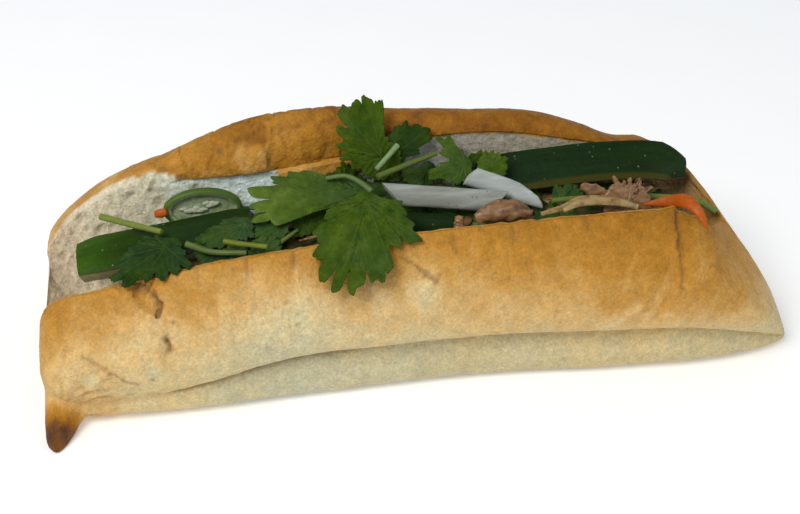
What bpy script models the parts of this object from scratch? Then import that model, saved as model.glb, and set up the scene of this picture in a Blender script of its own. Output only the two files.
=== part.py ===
"""A banh mi sandwich: a split short baguette with cucumber, chicken, pickles and coriander.

The loaf lies along X with its opening up, its front crust towards -Y and its base on z = 0.
Sizes in the tables are millimetres and are turned into metres where the meshes are made.
"""

import math

import bmesh
import bpy
import numpy as np
from mathutils import Matrix, Vector

MM = 0.001

# The loaf: 253 mm from tip to tip, 90 mm deep and 74 mm high at its crown.
LEFT_END = -122.6
RIGHT_END = 130.0
LEFT_ROUND_FRONT = 24.0
LEFT_ROUND_BACK = 36.0
RIGHT_ROUND = 44.0
LEFT_BLUNTNESS_FRONT = 4.4
LEFT_BLUNTNESS_BACK = 2.1
RIGHT_BLUNTNESS = 1.52
LEFT_TIP_Z_FRONT = 13.0
LEFT_TIP_Z_BACK = 33.0
LEFT_TIP_DEPTH = 0.55
RIGHT_TIP_Y = -26.0
RIGHT_TIP_Z = 1.2

# The slot's floor runs out as a notch between the two halves at the left end.
NOTCH_DEPTH = 9.0
NOTCH_Y = 2.0
NOTCH_Z = 19.0
NOTCH_SPREAD = (11.0, 9.0)
NOTCH_LENGTH = 22.0
BACK_SET_IN = 1.4

# Sizes that change along the loaf, as (x, size) pairs.
FOOT_Y = ((-120, -35.0), (-75, -35.0), (-30, -32.4), (30, -30.8), (60, -33.0), (97, -34.9), (125, -37.0))
CREASE_Z = (
    (-120, 9.0), (-75, 11.5), (-40, 17.5), (0, 17.2), (40, 17.0), (70, 16.8), (97, 16.0), (125, 14.0),
)
CREASE_DEPTH = ((-120, 0.2), (-85, 0.4), (-55, 2.0), (0, 2.6), (60, 3.0), (125, 2.4))
RIM_Y = ((-120, -24.0), (0, -23.0), (60, -24.0), (125, -24.0))
RIM_Z = (
    (-120, 40.0), (-100, 42.8), (-75, 47.5), (-40, 51.8), (0, 54.5), (40, 56.3), (75, 57.0), (92, 57.6),
    (107, 55.0), (125, 56.5),
)
CUT_Y = ((-120, 17.0), (-40, 17.0), (0, 18.0), (60, 19.0), (125, 17.0))
CUT_Z = (
    (-120, 46.0), (-100, 52.5), (-70, 57.0), (-40, 58.5), (-20, 61.0), (10, 66.0), (35, 65.5), (60, 60.5),
    (80, 56.0), (105, 52.0), (125, 48.0),
)
CROWN_Z = (
    (-120, 49.0), (-100, 55.5), (-80, 62.0), (-60, 70.0), (-40, 74.5), (-15, 75.0), (0, 73.5), (20, 71.5),
    (50, 67.8), (65, 62.5), (78, 56.8), (90, 56.0), (102, 57.0), (112, 53.5), (125, 49.0),
)
SLOT_Z = ((-120, 18.0), (-60, 20.0), (60, 20.0), (125, 24.0))
SLOT_Y = 1.0
BACK_Y = 50.0
HEEL_Y = 42.0

# The cut closes towards the right end, where the crust is torn in a step at the front rim.
SEAM_Y = -4.0
CLOSE_FROM = 97.0
CLOSE_TO = 111.0
STEP_X = 84.8
STEP_RUN = 1.6
STEP_DROP = 2.0

# The pinched dough tip at the front of the left end.
NUB_ROOT = (-118.5, -33.0, 5.0)
NUB_TIP = (-119.3, -48.2, 1.0)
NUB_REACH = 9.8
NUB_FULLNESS = 1.25

# Folds and cracks of the front crust: x and z of both ends of each line, its depth and its half width.
FRONT_GROOVES = (
    (81.6, 44.5, 71.5, 23.7, 0.9, 1.7),
    (84.0, 44.3, 76.4, 24.7, 0.8, 1.6),
    (86.2, 56.0, 85.2, 36.0, 0.9, 1.5),
    (66.6, 43.0, 64.4, 34.0, 0.4, 1.6),
    (-90.8, 44.3, -84.0, 39.5, 1.2, 1.5),
    (-84.0, 39.5, -79.5, 34.5, 0.8, 1.4),
    (-81.7, 31.5, -81.5, 28.5, 1.0, 1.8),
    (-107.4, 25.7, -87.4, 9.5, 0.8, 2.0),
    (-113.0, 22.0, -105.0, 13.5, 0.6, 1.8),
)
# Flakes of the back crust that stand up: x from and to, z from and to, and height.
BACK_FLAKES = (
    (-76.0, -44.5, 57.5, 66.5, 0.8), (-37.0, -20.0, 53.0, 64.0, 0.7), (-18.5, -8.0, 53.0, 62.0, 0.6),
)
FLAKE_EDGE = 1.6
# How far the back crust hangs over the cut face, along the loaf.
LIP = ((-120, 0.2), (-80, 0.8), (-60, 1.6), (-20, 1.4), (0, 0.8), (60, 0.6), (125, 0.2))

SECTION_STEPS = {
    "foot": 4, "dome": 12, "rim": 1, "slot_front": 5, "slot_back": 6, "lip": 1, "back": 13, "base": 4,
}
LEFT_STATIONS = 11
BODY_STATIONS = 35
RIGHT_STATIONS = 17


# The strips of cucumber: the middle of the skin, half the width, the thickness, the way the skin looks,
# and how wide each end is.
CUCUMBERS = {
    "cucumber_left": (
        ((-109.3, -4.0, 42.0), (-104, -4.0, 43.4), (-96, -4.0, 44.6), (-73, -4.0, 48.0), (-52, -4.0, 51.2)),
        8.2, 5.6, (-0.12, -0.2, 0.97), (0.86, 0.9),
    ),
    "cucumber_right": (
        ((25, 8.2, 54.6), (48, 8, 56.6), (69, 7.6, 57.8), (88, 7.2, 56.6), (93, 7.2, 55.4), (98, 7, 53)),
        7.2, 3.4, (0, -0.58, 0.82), (0.9, 0.5),
    ),
    "cucumber_low": (
        ((-9, -8.6, 51.9), (2, -9.6, 50.0), (14, -10.6, 48.8)),
        3.4, 2.2, (0, -0.75, 0.66), (0.9, 0.9),
    ),
}
CUCUMBER_BULGE = 1.3

# Daikon sticks: the middle of each, and half of its two widths.
DAIKON_FRONT = ((-5.6, -4.6, 58.4), (11.3, -5.2, 56.1), (29.5, -6.8, 53.9))
DAIKON_BACK = ((21.8, 1.6, 59.2), (33.2, -0.6, 55.2), (44.5, -4.4, 50.8))
DAIKON_FRONT_HALF = (3.6, 2.3)
DAIKON_BACK_HALF = (3.4, 2.2)
DAIKON_SLANT = -3.5
DAIKON_BACK_SLANT = 1.6
# The way that the broad sides of the sticks and shreds look.
FRONT_AND_UP = (-0.114, -0.811, 0.574)

# Carrot sticks.
CARROT_RIGHT = (
    (78.0, -13.6, 52.8), (85.6, -17.3, 55.6), (89.6, -23.8, 58.7), (91.3, -27.3, 57.8),
    (92.8, -30.4, 55.4), (93.2, -31.8, 53.8),
)
CARROT_RIGHT_HALF = ((1.8, 1.2), (2.3, 1.2), (2.7, 1.2), (2.5, 1.1), (1.7, 0.9), (0.5, 0.4))
CARROT_LEFT = ((-83.2, 7.5, 49.9), (-81.8, 7.0, 50.4), (-79.6, 6.7, 50.9))
CARROT_LEFT_HALF = ((1.7, 1.3), (1.8, 1.4), (1.7, 1.3))

# Stems: the middle line, the radius at its start and its end, and the finish.
STEMS = {
    "stem_yellow": (((-101.3, 8, 50.2), (-91.7, 1.3, 50.8), (-81.2, -5.8, 51.4)), 1.1, 1.0, "stem_bright"),
    "stem_left": (((-73.5, -13.2, 51), (-66.2, -16, 49.3), (-54.5, -19, 49.7)), 1.1, 0.8, "stem_green"),
    "stem_brown": (((-61.4, -15.3, 52.3), (-55.7, -17, 51.9), (-47.8, -20.7, 52.6)), 0.9, 0.8, "stem_pale"),
    "stem_small": (((-43.5, -16.2, 50.6), (-41, -13.5, 50.6), (-37.4, -9.8, 50.6)), 0.7, 0.6, "stem_bright"),
    "stem_middle": (
        ((-9.5, 0.6, 62.4), (-1.5, 5, 62.6), (5.7, 7.6, 63.6), (11.5, 9.4, 64.4)), 1.1, 0.8, "stem_green",
    ),
    "stem_light": (((-1.5, 11.0, 67.6), (-9.6, 3.4, 63.6)), 1.0, 0.8, "stem_pale"),
    "stem_right": (
        ((49, -3.4, 50.2), (61, -3.2, 50.2), (75, -3.4, 49.6), (88, -4.2, 48.7), (95, -5.2, 47.9),
         (100.6, -6.2, 46.6), (105.6, -7.4, 43.6)),
        1.0, 1.2, "stem_bright",
    ),
    "stem_curled": (
        ((-26.5, 2, 62.4), (-19.7, 1, 63.2), (-15.8, -2.4, 62.6), (-12.4, -6.4, 61.2)), 0.7, 1, "stem_green",
    ),
}
STEM_STEPS = 9

# Shreds: flat strips, with half of the width and of the thickness.
SHRED_HIGH = (
    (42, -17.0, 54.4), (49.5, -16.0, 55.6), (56, -13.5, 56.4), (62, -12.4, 55.4), (70, -13.4, 54.0),
    (75, -16.0, 53.4),
)
SHRED_LOW = ((48.6, -20.0, 57.2), (54.5, -17.6, 57.8), (62, -16.4, 57.2), (70.5, -18.0, 56.4))
SHRED_HALF = (1.3, 0.4)

# Chicken: the middle line of each piece, and its radius at each point.
CHICKEN_LEFT = (
    (20.6, -15.6, 53.6), (24, -15.2, 54.6), (29, -14.6, 55.2), (34, -14.8, 55.2), (38.6, -16.2, 53.8),
)
CHICKEN_LEFT_RADII = (1.6, 3.2, 3.7, 3.3, 1.5)
CHICKEN_MIDDLE = ((58.2, -6.2, 57.2), (61.0, -6.8, 55.8), (64.6, -7.6, 54.2), (68.0, -8.6, 53.2))
CHICKEN_MIDDLE_RADII = (1.0, 2.2, 2.0, 0.9)
CHICKEN_STICK = ((14.9, -17.0, 51.6), (15.1, -15.0, 54.6))
CHICKEN_STICK_RADII = (1.7, 1.6)
LUMP_SIDES = 9
LUMP_STATIONS = 9

# Chilli: a ring cut from a green chilli that leans on the back half.
CHILLI_MIDDLE = (-67.6, 9.4, 49.6)
CHILLI_RADIUS = (11.8, 6.2)
CHILLI_WALL = 2.6
CHILLI_LEAN = 26.0

# Leaves: where the stalk meets the leaf, the way of its middle vein, the way its face looks, how far the
# tips bend down, how wavy it is, and its lobes as (angle from the middle vein, length, half width).
LEAVES = {
    "leaf_top": (
        (-7.1, 9.6, 64.4), (-0.18, 0.44, 0.88), (0.0, -0.89, 0.45), 0.5, 0.7,
        ((-26, 7, 14), (-11, 19, 8.5), (0, 20.8, 9.5), (13, 21.2, 10.5), (27, 21.3, 10.5), (43, 17.6, 10),
         (60, 15, 11), (75, 14, 9), (92, 11, 12)),
    ),
    "leaf_top_right": (
        (-4.0, 10.4, 63.6), (0.48, 0.57, 0.66), (0.0, -0.76, 0.65), 0.4, 0.6,
        ((24, 8, 14), (10, 11.4, 12), (-3, 13.4, 11), (-17, 15, 10), (-28, 17, 8.5), (-39, 15.7, 8),
         (-52, 10.2, 13), (-75, 5, 24), (-125, 3.2, 50)),
    ),
    "leaf_right": (
        (20.7, 7.5, 60.4), (-0.41, 0.65, 0.65), (0.0, -0.71, 0.71), 0.4, 0.6,
        ((-60, 2.8, 45), (-16, 5.5, 18), (2, 11.4, 11), (14, 13, 8.5), (29, 9.5, 11), (46, 5.5, 14),
         (62, 8.5, 11), (73, 12.2, 8), (83, 13.4, 9), (103, 9, 15), (128, 7.6, 18), (155, 6.3, 20),
         (-175, 4.3, 25), (-120, 2.8, 45)),
    ),
    "leaf_fringe": (
        (29.6, 3.5, 61.2), (0.06, 0.71, 0.71), (0.0, -0.71, 0.71), 0.2, 0.3,
        ((-58, 6.2, 14), (-28, 5.6, 13), (0, 5.8, 13), (27, 6.6, 13)),
    ),
    "leaf_middle": (
        (-15.1, -2.0, 58.6), (-1.0, -0.07, 0.02), (0.05, -0.45, 0.89), 1.5, 0.9,
        ((-75, 5, 25), (-45, 9, 12), (-30, 21, 7.5), (-23, 25.5, 6.5), (-16.5, 31.2, 5.5), (-7, 36.4, 6.5),
         (2.5, 37.6, 6), (9.5, 36.3, 4.5), (15, 32, 5), (24, 13, 9), (40, 8, 14), (70, 5, 25)),
    ),
    "leaf_large": (
        (-14.8, -12.8, 62.2), (-0.34, -0.84, -0.42), (0.0, -0.45, 0.89), 2.0, 0.9,
        ((-110, 4, 35), (-66, 9, 16), (-52, 14.8, 13), (-37, 21.3, 12), (-23, 26.5, 10), (-14, 31.3, 8),
         (-3.5, 34.2, 5.5), (4.5, 33.2, 5), (10, 30.6, 4.5), (20, 30.2, 8.5), (30, 26.2, 7), (45, 19, 11),
         (61, 21.7, 12), (72, 18, 11), (85, 13.4, 13), (98, 11.7, 11), (125, 4, 25)),
    ),
    "leaf_small": (
        (-35.3, -8.4, 51.6), (0.42, 0.59, 0.69), (0.0, -0.76, 0.65), 0.3, 0.5,
        ((-125, 4, 30), (-85, 6.3, 20), (-61, 8.9, 14), (-38, 8.5, 14), (-12, 8.3, 16), (14, 6.6, 16),
         (45, 5.8, 20), (85, 4.5, 25), (115, 3.4, 30), (180, 4.2, 35)),
    ),
    "leaf_left": (
        (-80.1, -12.6, 50.2), (-0.89, -0.4, -0.19), (-0.12, -0.2, 0.97), 0.6, 0.6,
        ((-170, 5.2, 26), (-125, 4, 36), (-85, 7, 18), (-63, 9.8, 13), (-50, 10.8, 11), (-36, 12.2, 10),
         (-22, 15, 9.5), (-6, 17, 8), (7.5, 21, 8.5), (20, 19.3, 9.5), (36, 15.2, 12), (57, 13.8, 14),
         (80, 12.7, 14), (101, 13.1, 11), (118, 8, 16), (150, 5.5, 26)),
    ),
    "leaf_left_middle": (
        (-54.3, -8.0, 53.9), (-0.99, 0.08, -0.07), (-0.1, -0.5, 0.86), 0.4, 0.6,
        ((-70, 2.2, 50), (-5, 8, 18), (9, 12, 11), (20, 15.7, 8), (31, 15.2, 9), (42, 12.8, 9),
         (58, 8, 13), (85, 6.5, 18), (113, 6.2, 16), (143, 3.6, 24)),
    ),
    "leaf_folded": (
        (-41.9, -9.2, 53.8), (-0.99, 0.04, -0.1), (-0.1, -0.5, 0.86), 0.3, 0.5,
        ((-40, 3, 30), (5, 10.4, 11), (20, 11, 10), (35, 10.8, 10), (52, 9.2, 12), (75, 7.6, 14),
         (100, 4, 22), (150, 2.5, 40)),
    ),
}
LEAF_THICKNESS = 0.35
LEAF_FOCUS = 0.5
LEAF_LEAST_DIRECTIONS = 26
LEAF_MOST_DIRECTIONS = 62
LEAF_RINGS = (0.5, 1.0)
LEAF_BASE = 1.6
LOBE_SQUARENESS = 5

# A ragged piece of chicken is shaped like a thick small leaf.
CHICKEN_FAN = (
    (72.8, -11.4, 52.2), (-0.26, 0.5, 0.82), (0.0, -0.82, 0.57), 0.3, 0.4,
    ((6, 10.8, 12), (-12, 8, 14), (-30, 8.8, 13), (-50, 10.0, 13), (-76, 11.0, 14)),
)
CHICKEN_FAN_THICKNESS = 1.4

# The heap of chicken and herbs that fills the slot under the pieces on show.
BED_FROM = -88.0
BED_TO = 92.0
BED_TOP = (
    (-88, 36.0), (-78, 38.6), (-62, 41.5), (-54, 43.0), (-46, 46.5), (-36, 47.5),
    (-24, 48.5), (-14, 46.5), (0, 44.6), (12, 44.2), (24, 46.2), (48, 46.2), (66, 46.2), (84, 45.6),
    (92, 44.0),
)
BED_GAP = 0.9
BED_STATIONS = 28
BED_ACROSS = 8
BED_BUMP = 0.9


def smooth(share):
    """An eased step from 0 to 1."""
    share = np.clip(share, 0, 1)
    return share * share * (3 - 2 * share)


def along(x, knots):
    """The value at x of a smooth curve through the (x, value) pairs."""
    xs, values = (np.array(column, float) for column in zip(*knots))
    slopes = np.gradient(values, xs)
    x = np.clip(x, xs[0], xs[-1])
    i = np.clip(np.searchsorted(xs, x, side="right") - 1, 0, len(xs) - 2)
    run = xs[i + 1] - xs[i]
    t = (x - xs[i]) / run
    return (
        (1 + 2 * t) * (1 - t) ** 2 * values[i]
        + t * (1 - t) ** 2 * run * slopes[i]
        + t * t * (3 - 2 * t) * values[i + 1]
        + t * t * (t - 1) * run * slopes[i + 1]
    )


def through(points, count):
    """count + 1 points, evenly spaced along a smooth curve through the given ones."""
    points = np.array(points, float)
    gaps = np.maximum(np.linalg.norm(np.diff(points, axis=0), axis=1), 1e-6)
    at = np.concatenate([[0], np.cumsum(gaps)])
    if len(points) == 2:
        fine = points[0] + np.linspace(0, 1, 20)[:, None] * (points[1] - points[0])
    else:
        steps = np.linspace(0, at[-1], 400)
        fine = np.stack([along(steps, list(zip(at, column))) for column in points.T], 1)
    walked = np.concatenate([[0], np.cumsum(np.linalg.norm(np.diff(fine, axis=0), axis=1))])
    steps = np.linspace(0, walked[-1], count + 1)
    return np.stack([np.interp(steps, walked, column) for column in fine.T], 1)


def rounding(distance, length, bluntness):
    """How much of its full section the loaf has at this distance from its end."""
    t = np.clip(distance / length, 0, 1)
    return (1 - (1 - t) ** bluntness) ** (1 / bluntness)


def shrink_to_ends(section, x):
    """Draws the (y, z) points of a section in, where x is near an end of the loaf."""
    y, z = section.T
    share = smooth((y + 6) / 14)
    front = rounding(x - LEFT_END, LEFT_ROUND_FRONT, LEFT_BLUNTNESS_FRONT)
    back = rounding(x - LEFT_END, LEFT_ROUND_BACK, LEFT_BLUNTNESS_BACK)
    left = front + (back - front) * share
    y = y * (LEFT_TIP_DEPTH + (1 - LEFT_TIP_DEPTH) * left)
    tip_z = LEFT_TIP_Z_FRONT + (LEFT_TIP_Z_BACK - LEFT_TIP_Z_FRONT) * share
    z = tip_z + (z - tip_z) * left
    right = rounding(RIGHT_END - x, RIGHT_ROUND, RIGHT_BLUNTNESS)
    y = RIGHT_TIP_Y + (y - RIGHT_TIP_Y) * right
    z = RIGHT_TIP_Z + (z - RIGHT_TIP_Z) * right
    return np.stack([y, z], 1)


def loaf_section(x, steps=SECTION_STEPS):
    """The closed (y, z) outline of the bread at x: front crust, opening, back crust and base."""
    foot = along(x, FOOT_Y)
    crease_z = along(x, CREASE_Z)
    rim_z = along(x, RIM_Z) - STEP_DROP * smooth((x - STEP_X) / STEP_RUN)
    crown_z = along(x, CROWN_Z)
    seam_z = 0.5 * (rim_z + crown_z)
    is_open = 1 - smooth((x - CLOSE_FROM) / (CLOSE_TO - CLOSE_FROM))
    rim_y = SEAM_Y - 0.7 + (along(x, RIM_Y) - SEAM_Y + 0.7) * is_open
    rim_z = seam_z + (rim_z - seam_z) * is_open
    cut_y = SEAM_Y + 0.7 + (along(x, CUT_Y) - SEAM_Y - 0.7) * is_open
    cut_z = seam_z + (along(x, CUT_Z) - seam_z) * is_open
    floor_z = seam_z - 1.5
    slot = (SEAM_Y + (SLOT_Y - SEAM_Y) * is_open, floor_z + (along(x, SLOT_Z) - floor_z) * is_open)
    crease = (foot - 3.2 + along(x, CREASE_DEPTH), crease_z)
    bulge_y = foot - 7.0
    rim = (rim_y, rim_z)
    inner_rim = (rim_y + 2.2 * is_open + 0.2, rim_z - 0.6 * is_open - 0.1)
    rise = crown_z - cut_z
    lip = along(x, LIP) * is_open
    lip_end = (cut_y - lip, cut_z + 0.5 * lip + 0.2)
    outline = {
        "foot": [(foot + 3, 0.0), (foot - 0.5, 1.4), (foot - 3.4, 0.5 * crease_z), crease],
        "dome": [
            crease,
            (foot - 5.6, crease_z + 4.5),
            (bulge_y, 0.58 * rim_z + 1),
            (0.55 * rim_y + 0.45 * bulge_y, 0.85 * rim_z + 1),
            rim,
        ],
        "rim": [rim, inner_rim],
        "slot_front": [
            inner_rim,
            (0.62 * rim_y - 1, 0.72 * rim_z + 0.28 * slot[1]),
            (0.3 * rim_y, 0.35 * rim_z + 0.65 * slot[1]),
            slot,
        ],
        "slot_back": [
            slot,
            (0.52 * cut_y + 0.48 * slot[0], 0.3 * cut_z + 0.7 * slot[1]),
            (0.86 * cut_y + 0.14 * slot[0], 0.7 * cut_z + 0.3 * slot[1]),
            (cut_y, cut_z),
        ],
        "lip": [(cut_y, cut_z), lip_end],
        "back": [
            lip_end,
            (cut_y + 0.08 * rise - 0.4 * lip, cut_z + 0.5 * rise),
            (cut_y + 0.28 * rise + 2, crown_z - 0.1 * rise),
            (0.62 * cut_y + 0.38 * HEEL_Y, crown_z - 1),
            (HEEL_Y - 1, 0.8 * crown_z),
            (BACK_Y - 1, 0.56 * crown_z),
            (BACK_Y - 1.5, 0.25 * crown_z),
            (HEEL_Y + 3.5, 4.0),
            (HEEL_Y, 0.0),
        ],
        "base": [(HEEL_Y, 0.0), (foot + 3, 0.0)],
    }
    section = np.concatenate([through(points, steps[name])[:-1] for name, points in outline.items()])
    return shrink_to_ends(section, x)


def crust_relief(points):
    """How far the crust stands out (or in) at these points, in millimetres."""
    x, y, z = np.moveaxis(points, -1, 0)
    relief = np.zeros(x.shape)
    front = smooth((-22 - y) / 3)
    for x0, z0, x1, z1, depth, width in FRONT_GROOVES:
        run = np.array([x1 - x0, z1 - z0])
        share = np.clip(((x - x0) * run[0] + (z - z0) * run[1]) / (run @ run), 0, 1)
        away = np.hypot(x - x0 - share * run[0], z - z0 - share * run[1])
        relief -= front * depth * np.exp(-((away / width) ** 2))
    back = smooth((y - 12) / 3) * smooth((30 - y) / 4)
    for x0, x1, z0, z1, height in BACK_FLAKES:
        inside = np.minimum(np.minimum(x - x0, x1 - x), np.minimum(z - z0, z1 - z))
        relief += back * height * smooth(inside / FLAKE_EDGE + 0.5)
    return relief


def raise_relief(rings):
    """Moves the crust out along the loaf's sections by its relief."""
    before, after = np.roll(rings, 1, axis=1), np.roll(rings, -1, axis=1)
    way = (after - before)[..., 1:]
    length = np.maximum(np.linalg.norm(way, axis=-1, keepdims=True), 1e-6)
    outward = np.stack([-way[..., 1], way[..., 0]], -1) / length
    moved = rings.copy()
    moved[..., 1:] += outward * crust_relief(rings)[..., None]
    return moved


def cut_notch(points):
    """Draws the floor of the slot in at the left end, between the two halves."""
    x, y, z = np.moveaxis(points, -1, 0)
    near = np.exp(-(((y - NOTCH_Y) / NOTCH_SPREAD[0]) ** 2) - ((z - NOTCH_Z) / NOTCH_SPREAD[1]) ** 2)
    inward = NOTCH_DEPTH * near + BACK_SET_IN * smooth((y + 6) / 14)
    moved = x + inward * (1 - smooth((x - LEFT_END) / NOTCH_LENGTH))
    return np.stack([moved, y, z], -1)


def pull_nub(points):
    """Draws the dough near the left end's front corner out into a pointed tip."""
    root, tip = np.array(NUB_ROOT), np.array(NUB_TIP)
    share = smooth(NUB_FULLNESS * (1 - np.linalg.norm(points - root, axis=-1) / NUB_REACH))
    return points + share[..., None] * (tip - root)


def loaf_stations(left=LEFT_STATIONS, body=BODY_STATIONS, right=RIGHT_STATIONS):
    """The x of each section, closer together towards the ends."""
    body_from, body_to = LEFT_END + LEFT_ROUND_FRONT, RIGHT_END - RIGHT_ROUND
    left_x = LEFT_END + 0.15 + (LEFT_ROUND_FRONT - 0.15) * np.linspace(0, 1, left + 1) ** 2
    right_x = RIGHT_END - 0.4 - (RIGHT_ROUND - 0.4) * np.linspace(0, 1, right + 1) ** 1.4
    body_x = np.linspace(body_from, body_to, body + 1)[1:-1]
    return np.concatenate([left_x, body_x, right_x[::-1]])


def loaf_rings():
    """The loaf's sections as points in millimetres."""
    rings = []
    for x in loaf_stations():
        section = loaf_section(x)
        rings.append(np.column_stack([np.full(len(section), x), section]))
    placed = pull_nub(cut_notch(raise_relief(np.array(rings))))
    placed[..., 2] = np.maximum(placed[..., 2], 0)
    return placed


def leaf_reach(angles, lobes):
    """How far a leaf reaches from its stalk in each direction."""
    reach = np.full(angles.shape, LEAF_BASE)
    for angle, length, half_width in lobes:
        away = np.abs((angles - math.radians(angle) + math.pi) % (2 * math.pi) - math.pi)
        share = np.clip(away / math.radians(half_width), 0, 1)
        reach = np.maximum(reach, length * (1 - share**LOBE_SQUARENESS))
    return reach


def leaf_directions(lobes):
    """Angles all round the stalk, more of them on a long leaf and closest together near its middle vein."""
    longest = max(lobe[1] for lobe in lobes)
    count = int(np.clip(22 + 1.2 * longest, LEAF_LEAST_DIRECTIONS, LEAF_MOST_DIRECTIONS))
    turns = np.linspace(-math.pi, math.pi, count, endpoint=False)
    return turns - LEAF_FOCUS * np.sin(turns)


def leaf_frame(vein, face):
    """Three ways at right angles: along the middle vein, across it, and out of the leaf's face."""
    out = Vector(face).normalized()
    ahead = Vector(vein)
    ahead = (ahead - out * ahead.dot(out)).normalized()
    return np.array(ahead), np.array(out.cross(ahead)), np.array(out)


def leaf_surface(shape, angles, share):
    """Points on a leaf's upper face: angles and share (of the reach, 0 to 1) are arrays alike."""
    stalk, vein, face, bend, wave, lobes = shape
    ahead, across, out = leaf_frame(vein, face)
    longest = max(lobe[1] for lobe in lobes)
    reach = leaf_reach(angles, lobes) * share
    lift = -bend * (reach / longest) ** 2 + wave * np.sin(3 * angles + 0.7) * (reach / longest)
    flat = np.cos(angles)[..., None] * ahead + np.sin(angles)[..., None] * across
    return np.array(stalk) + reach[..., None] * flat + lift[..., None] * out


def material(name, color, roughness):
    made = bpy.data.materials.new(name)
    made.use_nodes = True
    shader = made.node_tree.nodes["Principled BSDF"]
    shader.inputs["Base Color"].default_value = (*color, 1.0)
    shader.inputs["Roughness"].default_value = roughness
    shader.inputs["Metallic"].default_value = 0.0
    return made


def add_mesh(name, shape, finish, collection):
    """Makes the bmesh an object with smooth shading and sharp edges where it turns hard."""
    mesh = bpy.data.meshes.new(name)
    shape.to_mesh(mesh)
    shape.free()
    mesh.shade_smooth()
    mesh.set_sharp_from_angle(angle=math.radians(50))
    mesh.materials.append(finish)
    made = bpy.data.objects.new(name, mesh)
    collection.objects.link(made)
    return made


def loft(name, rings, finish, collection):
    """A closed skin over rings of points in millimetres, with a flat cap on each end."""
    rings = np.asarray(rings, float) * MM
    count, around = rings.shape[:2]
    shape = bmesh.new()
    corners = [[shape.verts.new(point) for point in ring] for ring in rings]
    for i in range(count - 1):
        for j in range(around):
            k = (j + 1) % around
            shape.faces.new((corners[i][j], corners[i + 1][j], corners[i + 1][k], corners[i][k]))
    caps = [shape.faces.new(corners[0]), shape.faces.new(corners[-1][::-1])]
    bmesh.ops.triangulate(shape, faces=caps)
    bmesh.ops.recalc_face_normals(shape, faces=shape.faces)
    return add_mesh(name, shape, finish, collection)


def sweep(points, outline, up, sizes, stations, slant=0.0):
    """Rings of the (across, up) outline carried along a smooth line, scaled by the sizes on the way."""
    line = through(points, stations)
    ways = np.gradient(line, axis=0)
    ways /= np.linalg.norm(ways, axis=1)[:, None]
    places = np.linspace(0, 1, stations + 1)
    knots = np.linspace(0, 1, len(sizes))
    rings = []
    for place, point, way in zip(places, line, ways):
        across = np.cross(up, way)
        across /= np.linalg.norm(across)
        over = np.cross(way, across)
        wide = np.interp(place, knots, [size[0] for size in sizes])
        high = np.interp(place, knots, [size[1] for size in sizes])
        lean = slant * (1 - 2 * place) if slant else 0.0
        rings.append(
            [point + u * wide * across + v * high * over + lean * u * way for u, v in outline]
        )
    return rings


def circle(sides):
    turns = [2 * math.pi * i / sides for i in range(sides)]
    return [(math.cos(turn), math.sin(turn)) for turn in turns]


def softened_box(corner=0.3):
    """A square outline from -1 to 1 with its corners cut."""
    inner = 1 - corner
    upper = [(1, -inner), (1, inner), (inner, 1), (-inner, 1)]
    return upper + [(-u, -v) for u, v in upper]


def cucumber_outline(thickness, bulge, steps=6):
    """A strip of cucumber across: the bulged skin on top and the narrower flesh below."""
    skin = [(1 - 2 * i / steps, bulge * (1 - (1 - 2 * i / steps) ** 2)) for i in range(steps + 1)]
    side = (0.97, -0.35 * thickness)
    foot = (0.8, -thickness)
    return skin + [(-side[0], side[1]), (-foot[0], foot[1]), foot, side]


def cucumber(name, points, half_width, thickness, up, ends, finish, collection):
    outline = cucumber_outline(thickness, CUCUMBER_BULGE)
    sizes = [(half_width * ends[0], 1)] + [(half_width, 1)] * 8 + [(half_width * ends[1], 1)]
    return loft(name, sweep(points, outline, up, sizes, 12), finish, collection)


def stick(name, points, sizes, slant, finish, collection):
    rings = sweep(points, softened_box(), FRONT_AND_UP, sizes, 8, slant)
    return loft(name, rings, finish, collection)


def stem(name, points, start, end, finish, collection):
    """A round stalk: a curve whose thickness changes evenly from its start to its end."""
    line = through(points, STEM_STEPS)
    curve = bpy.data.curves.new(name, "CURVE")
    curve.dimensions = "3D"
    curve.bevel_depth = MM
    curve.bevel_resolution = 1
    curve.use_fill_caps = True
    spline = curve.splines.new("POLY")
    spline.points.add(STEM_STEPS)
    for i, (point, place) in enumerate(zip(spline.points, line)):
        point.co = (*(place * MM), 1.0)
        point.radius = start + (end - start) * i / STEM_STEPS
    curve.materials.append(finish)
    collection.objects.link(bpy.data.objects.new(name, curve))


def lump(name, points, radii, finish, collection):
    """A torn piece of meat: a thick line with ridges along it and dents across."""
    sizes = [(radius, 0.85 * radius) for radius in radii]
    rings = np.array(sweep(points, circle(LUMP_SIDES), FRONT_AND_UP, sizes, LUMP_STATIONS))
    line = rings.mean(axis=1, keepdims=True)
    i, j = np.meshgrid(np.arange(LUMP_STATIONS + 1), np.arange(LUMP_SIDES), indexing="ij")
    dents = 1 + 0.13 * np.sin(2.1 * i + 1.9 * j) + 0.1 * np.sin(3.7 * j - 1.3 * i)
    return loft(name, line + (rings - line) * dents[..., None], finish, collection)


def leaf(name, shape, thickness, finish, collection):
    """A thin wavy solid: an open fan of triangles round the stalk, thickened away from its face."""
    angles = leaf_directions(shape[-1])
    surface = bmesh.new()
    middle = surface.verts.new(np.array(shape[0]) * MM)
    rings = []
    for share in LEAF_RINGS:
        points = leaf_surface(shape, angles, np.full(angles.shape, share))
        rings.append([surface.verts.new(point * MM) for point in points])
    for j in range(len(angles)):
        k = (j + 1) % len(angles)
        surface.faces.new((middle, rings[0][j], rings[0][k]))
        for inner, outer in zip(rings, rings[1:]):
            surface.faces.new((inner[j], outer[j], outer[k]))
            surface.faces.new((inner[j], outer[k], inner[k]))
    made = add_mesh(name, surface, finish, collection)
    wall = made.modifiers.new("thickness", "SOLIDIFY")
    wall.thickness = thickness * MM
    wall.offset = -1.0


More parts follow.
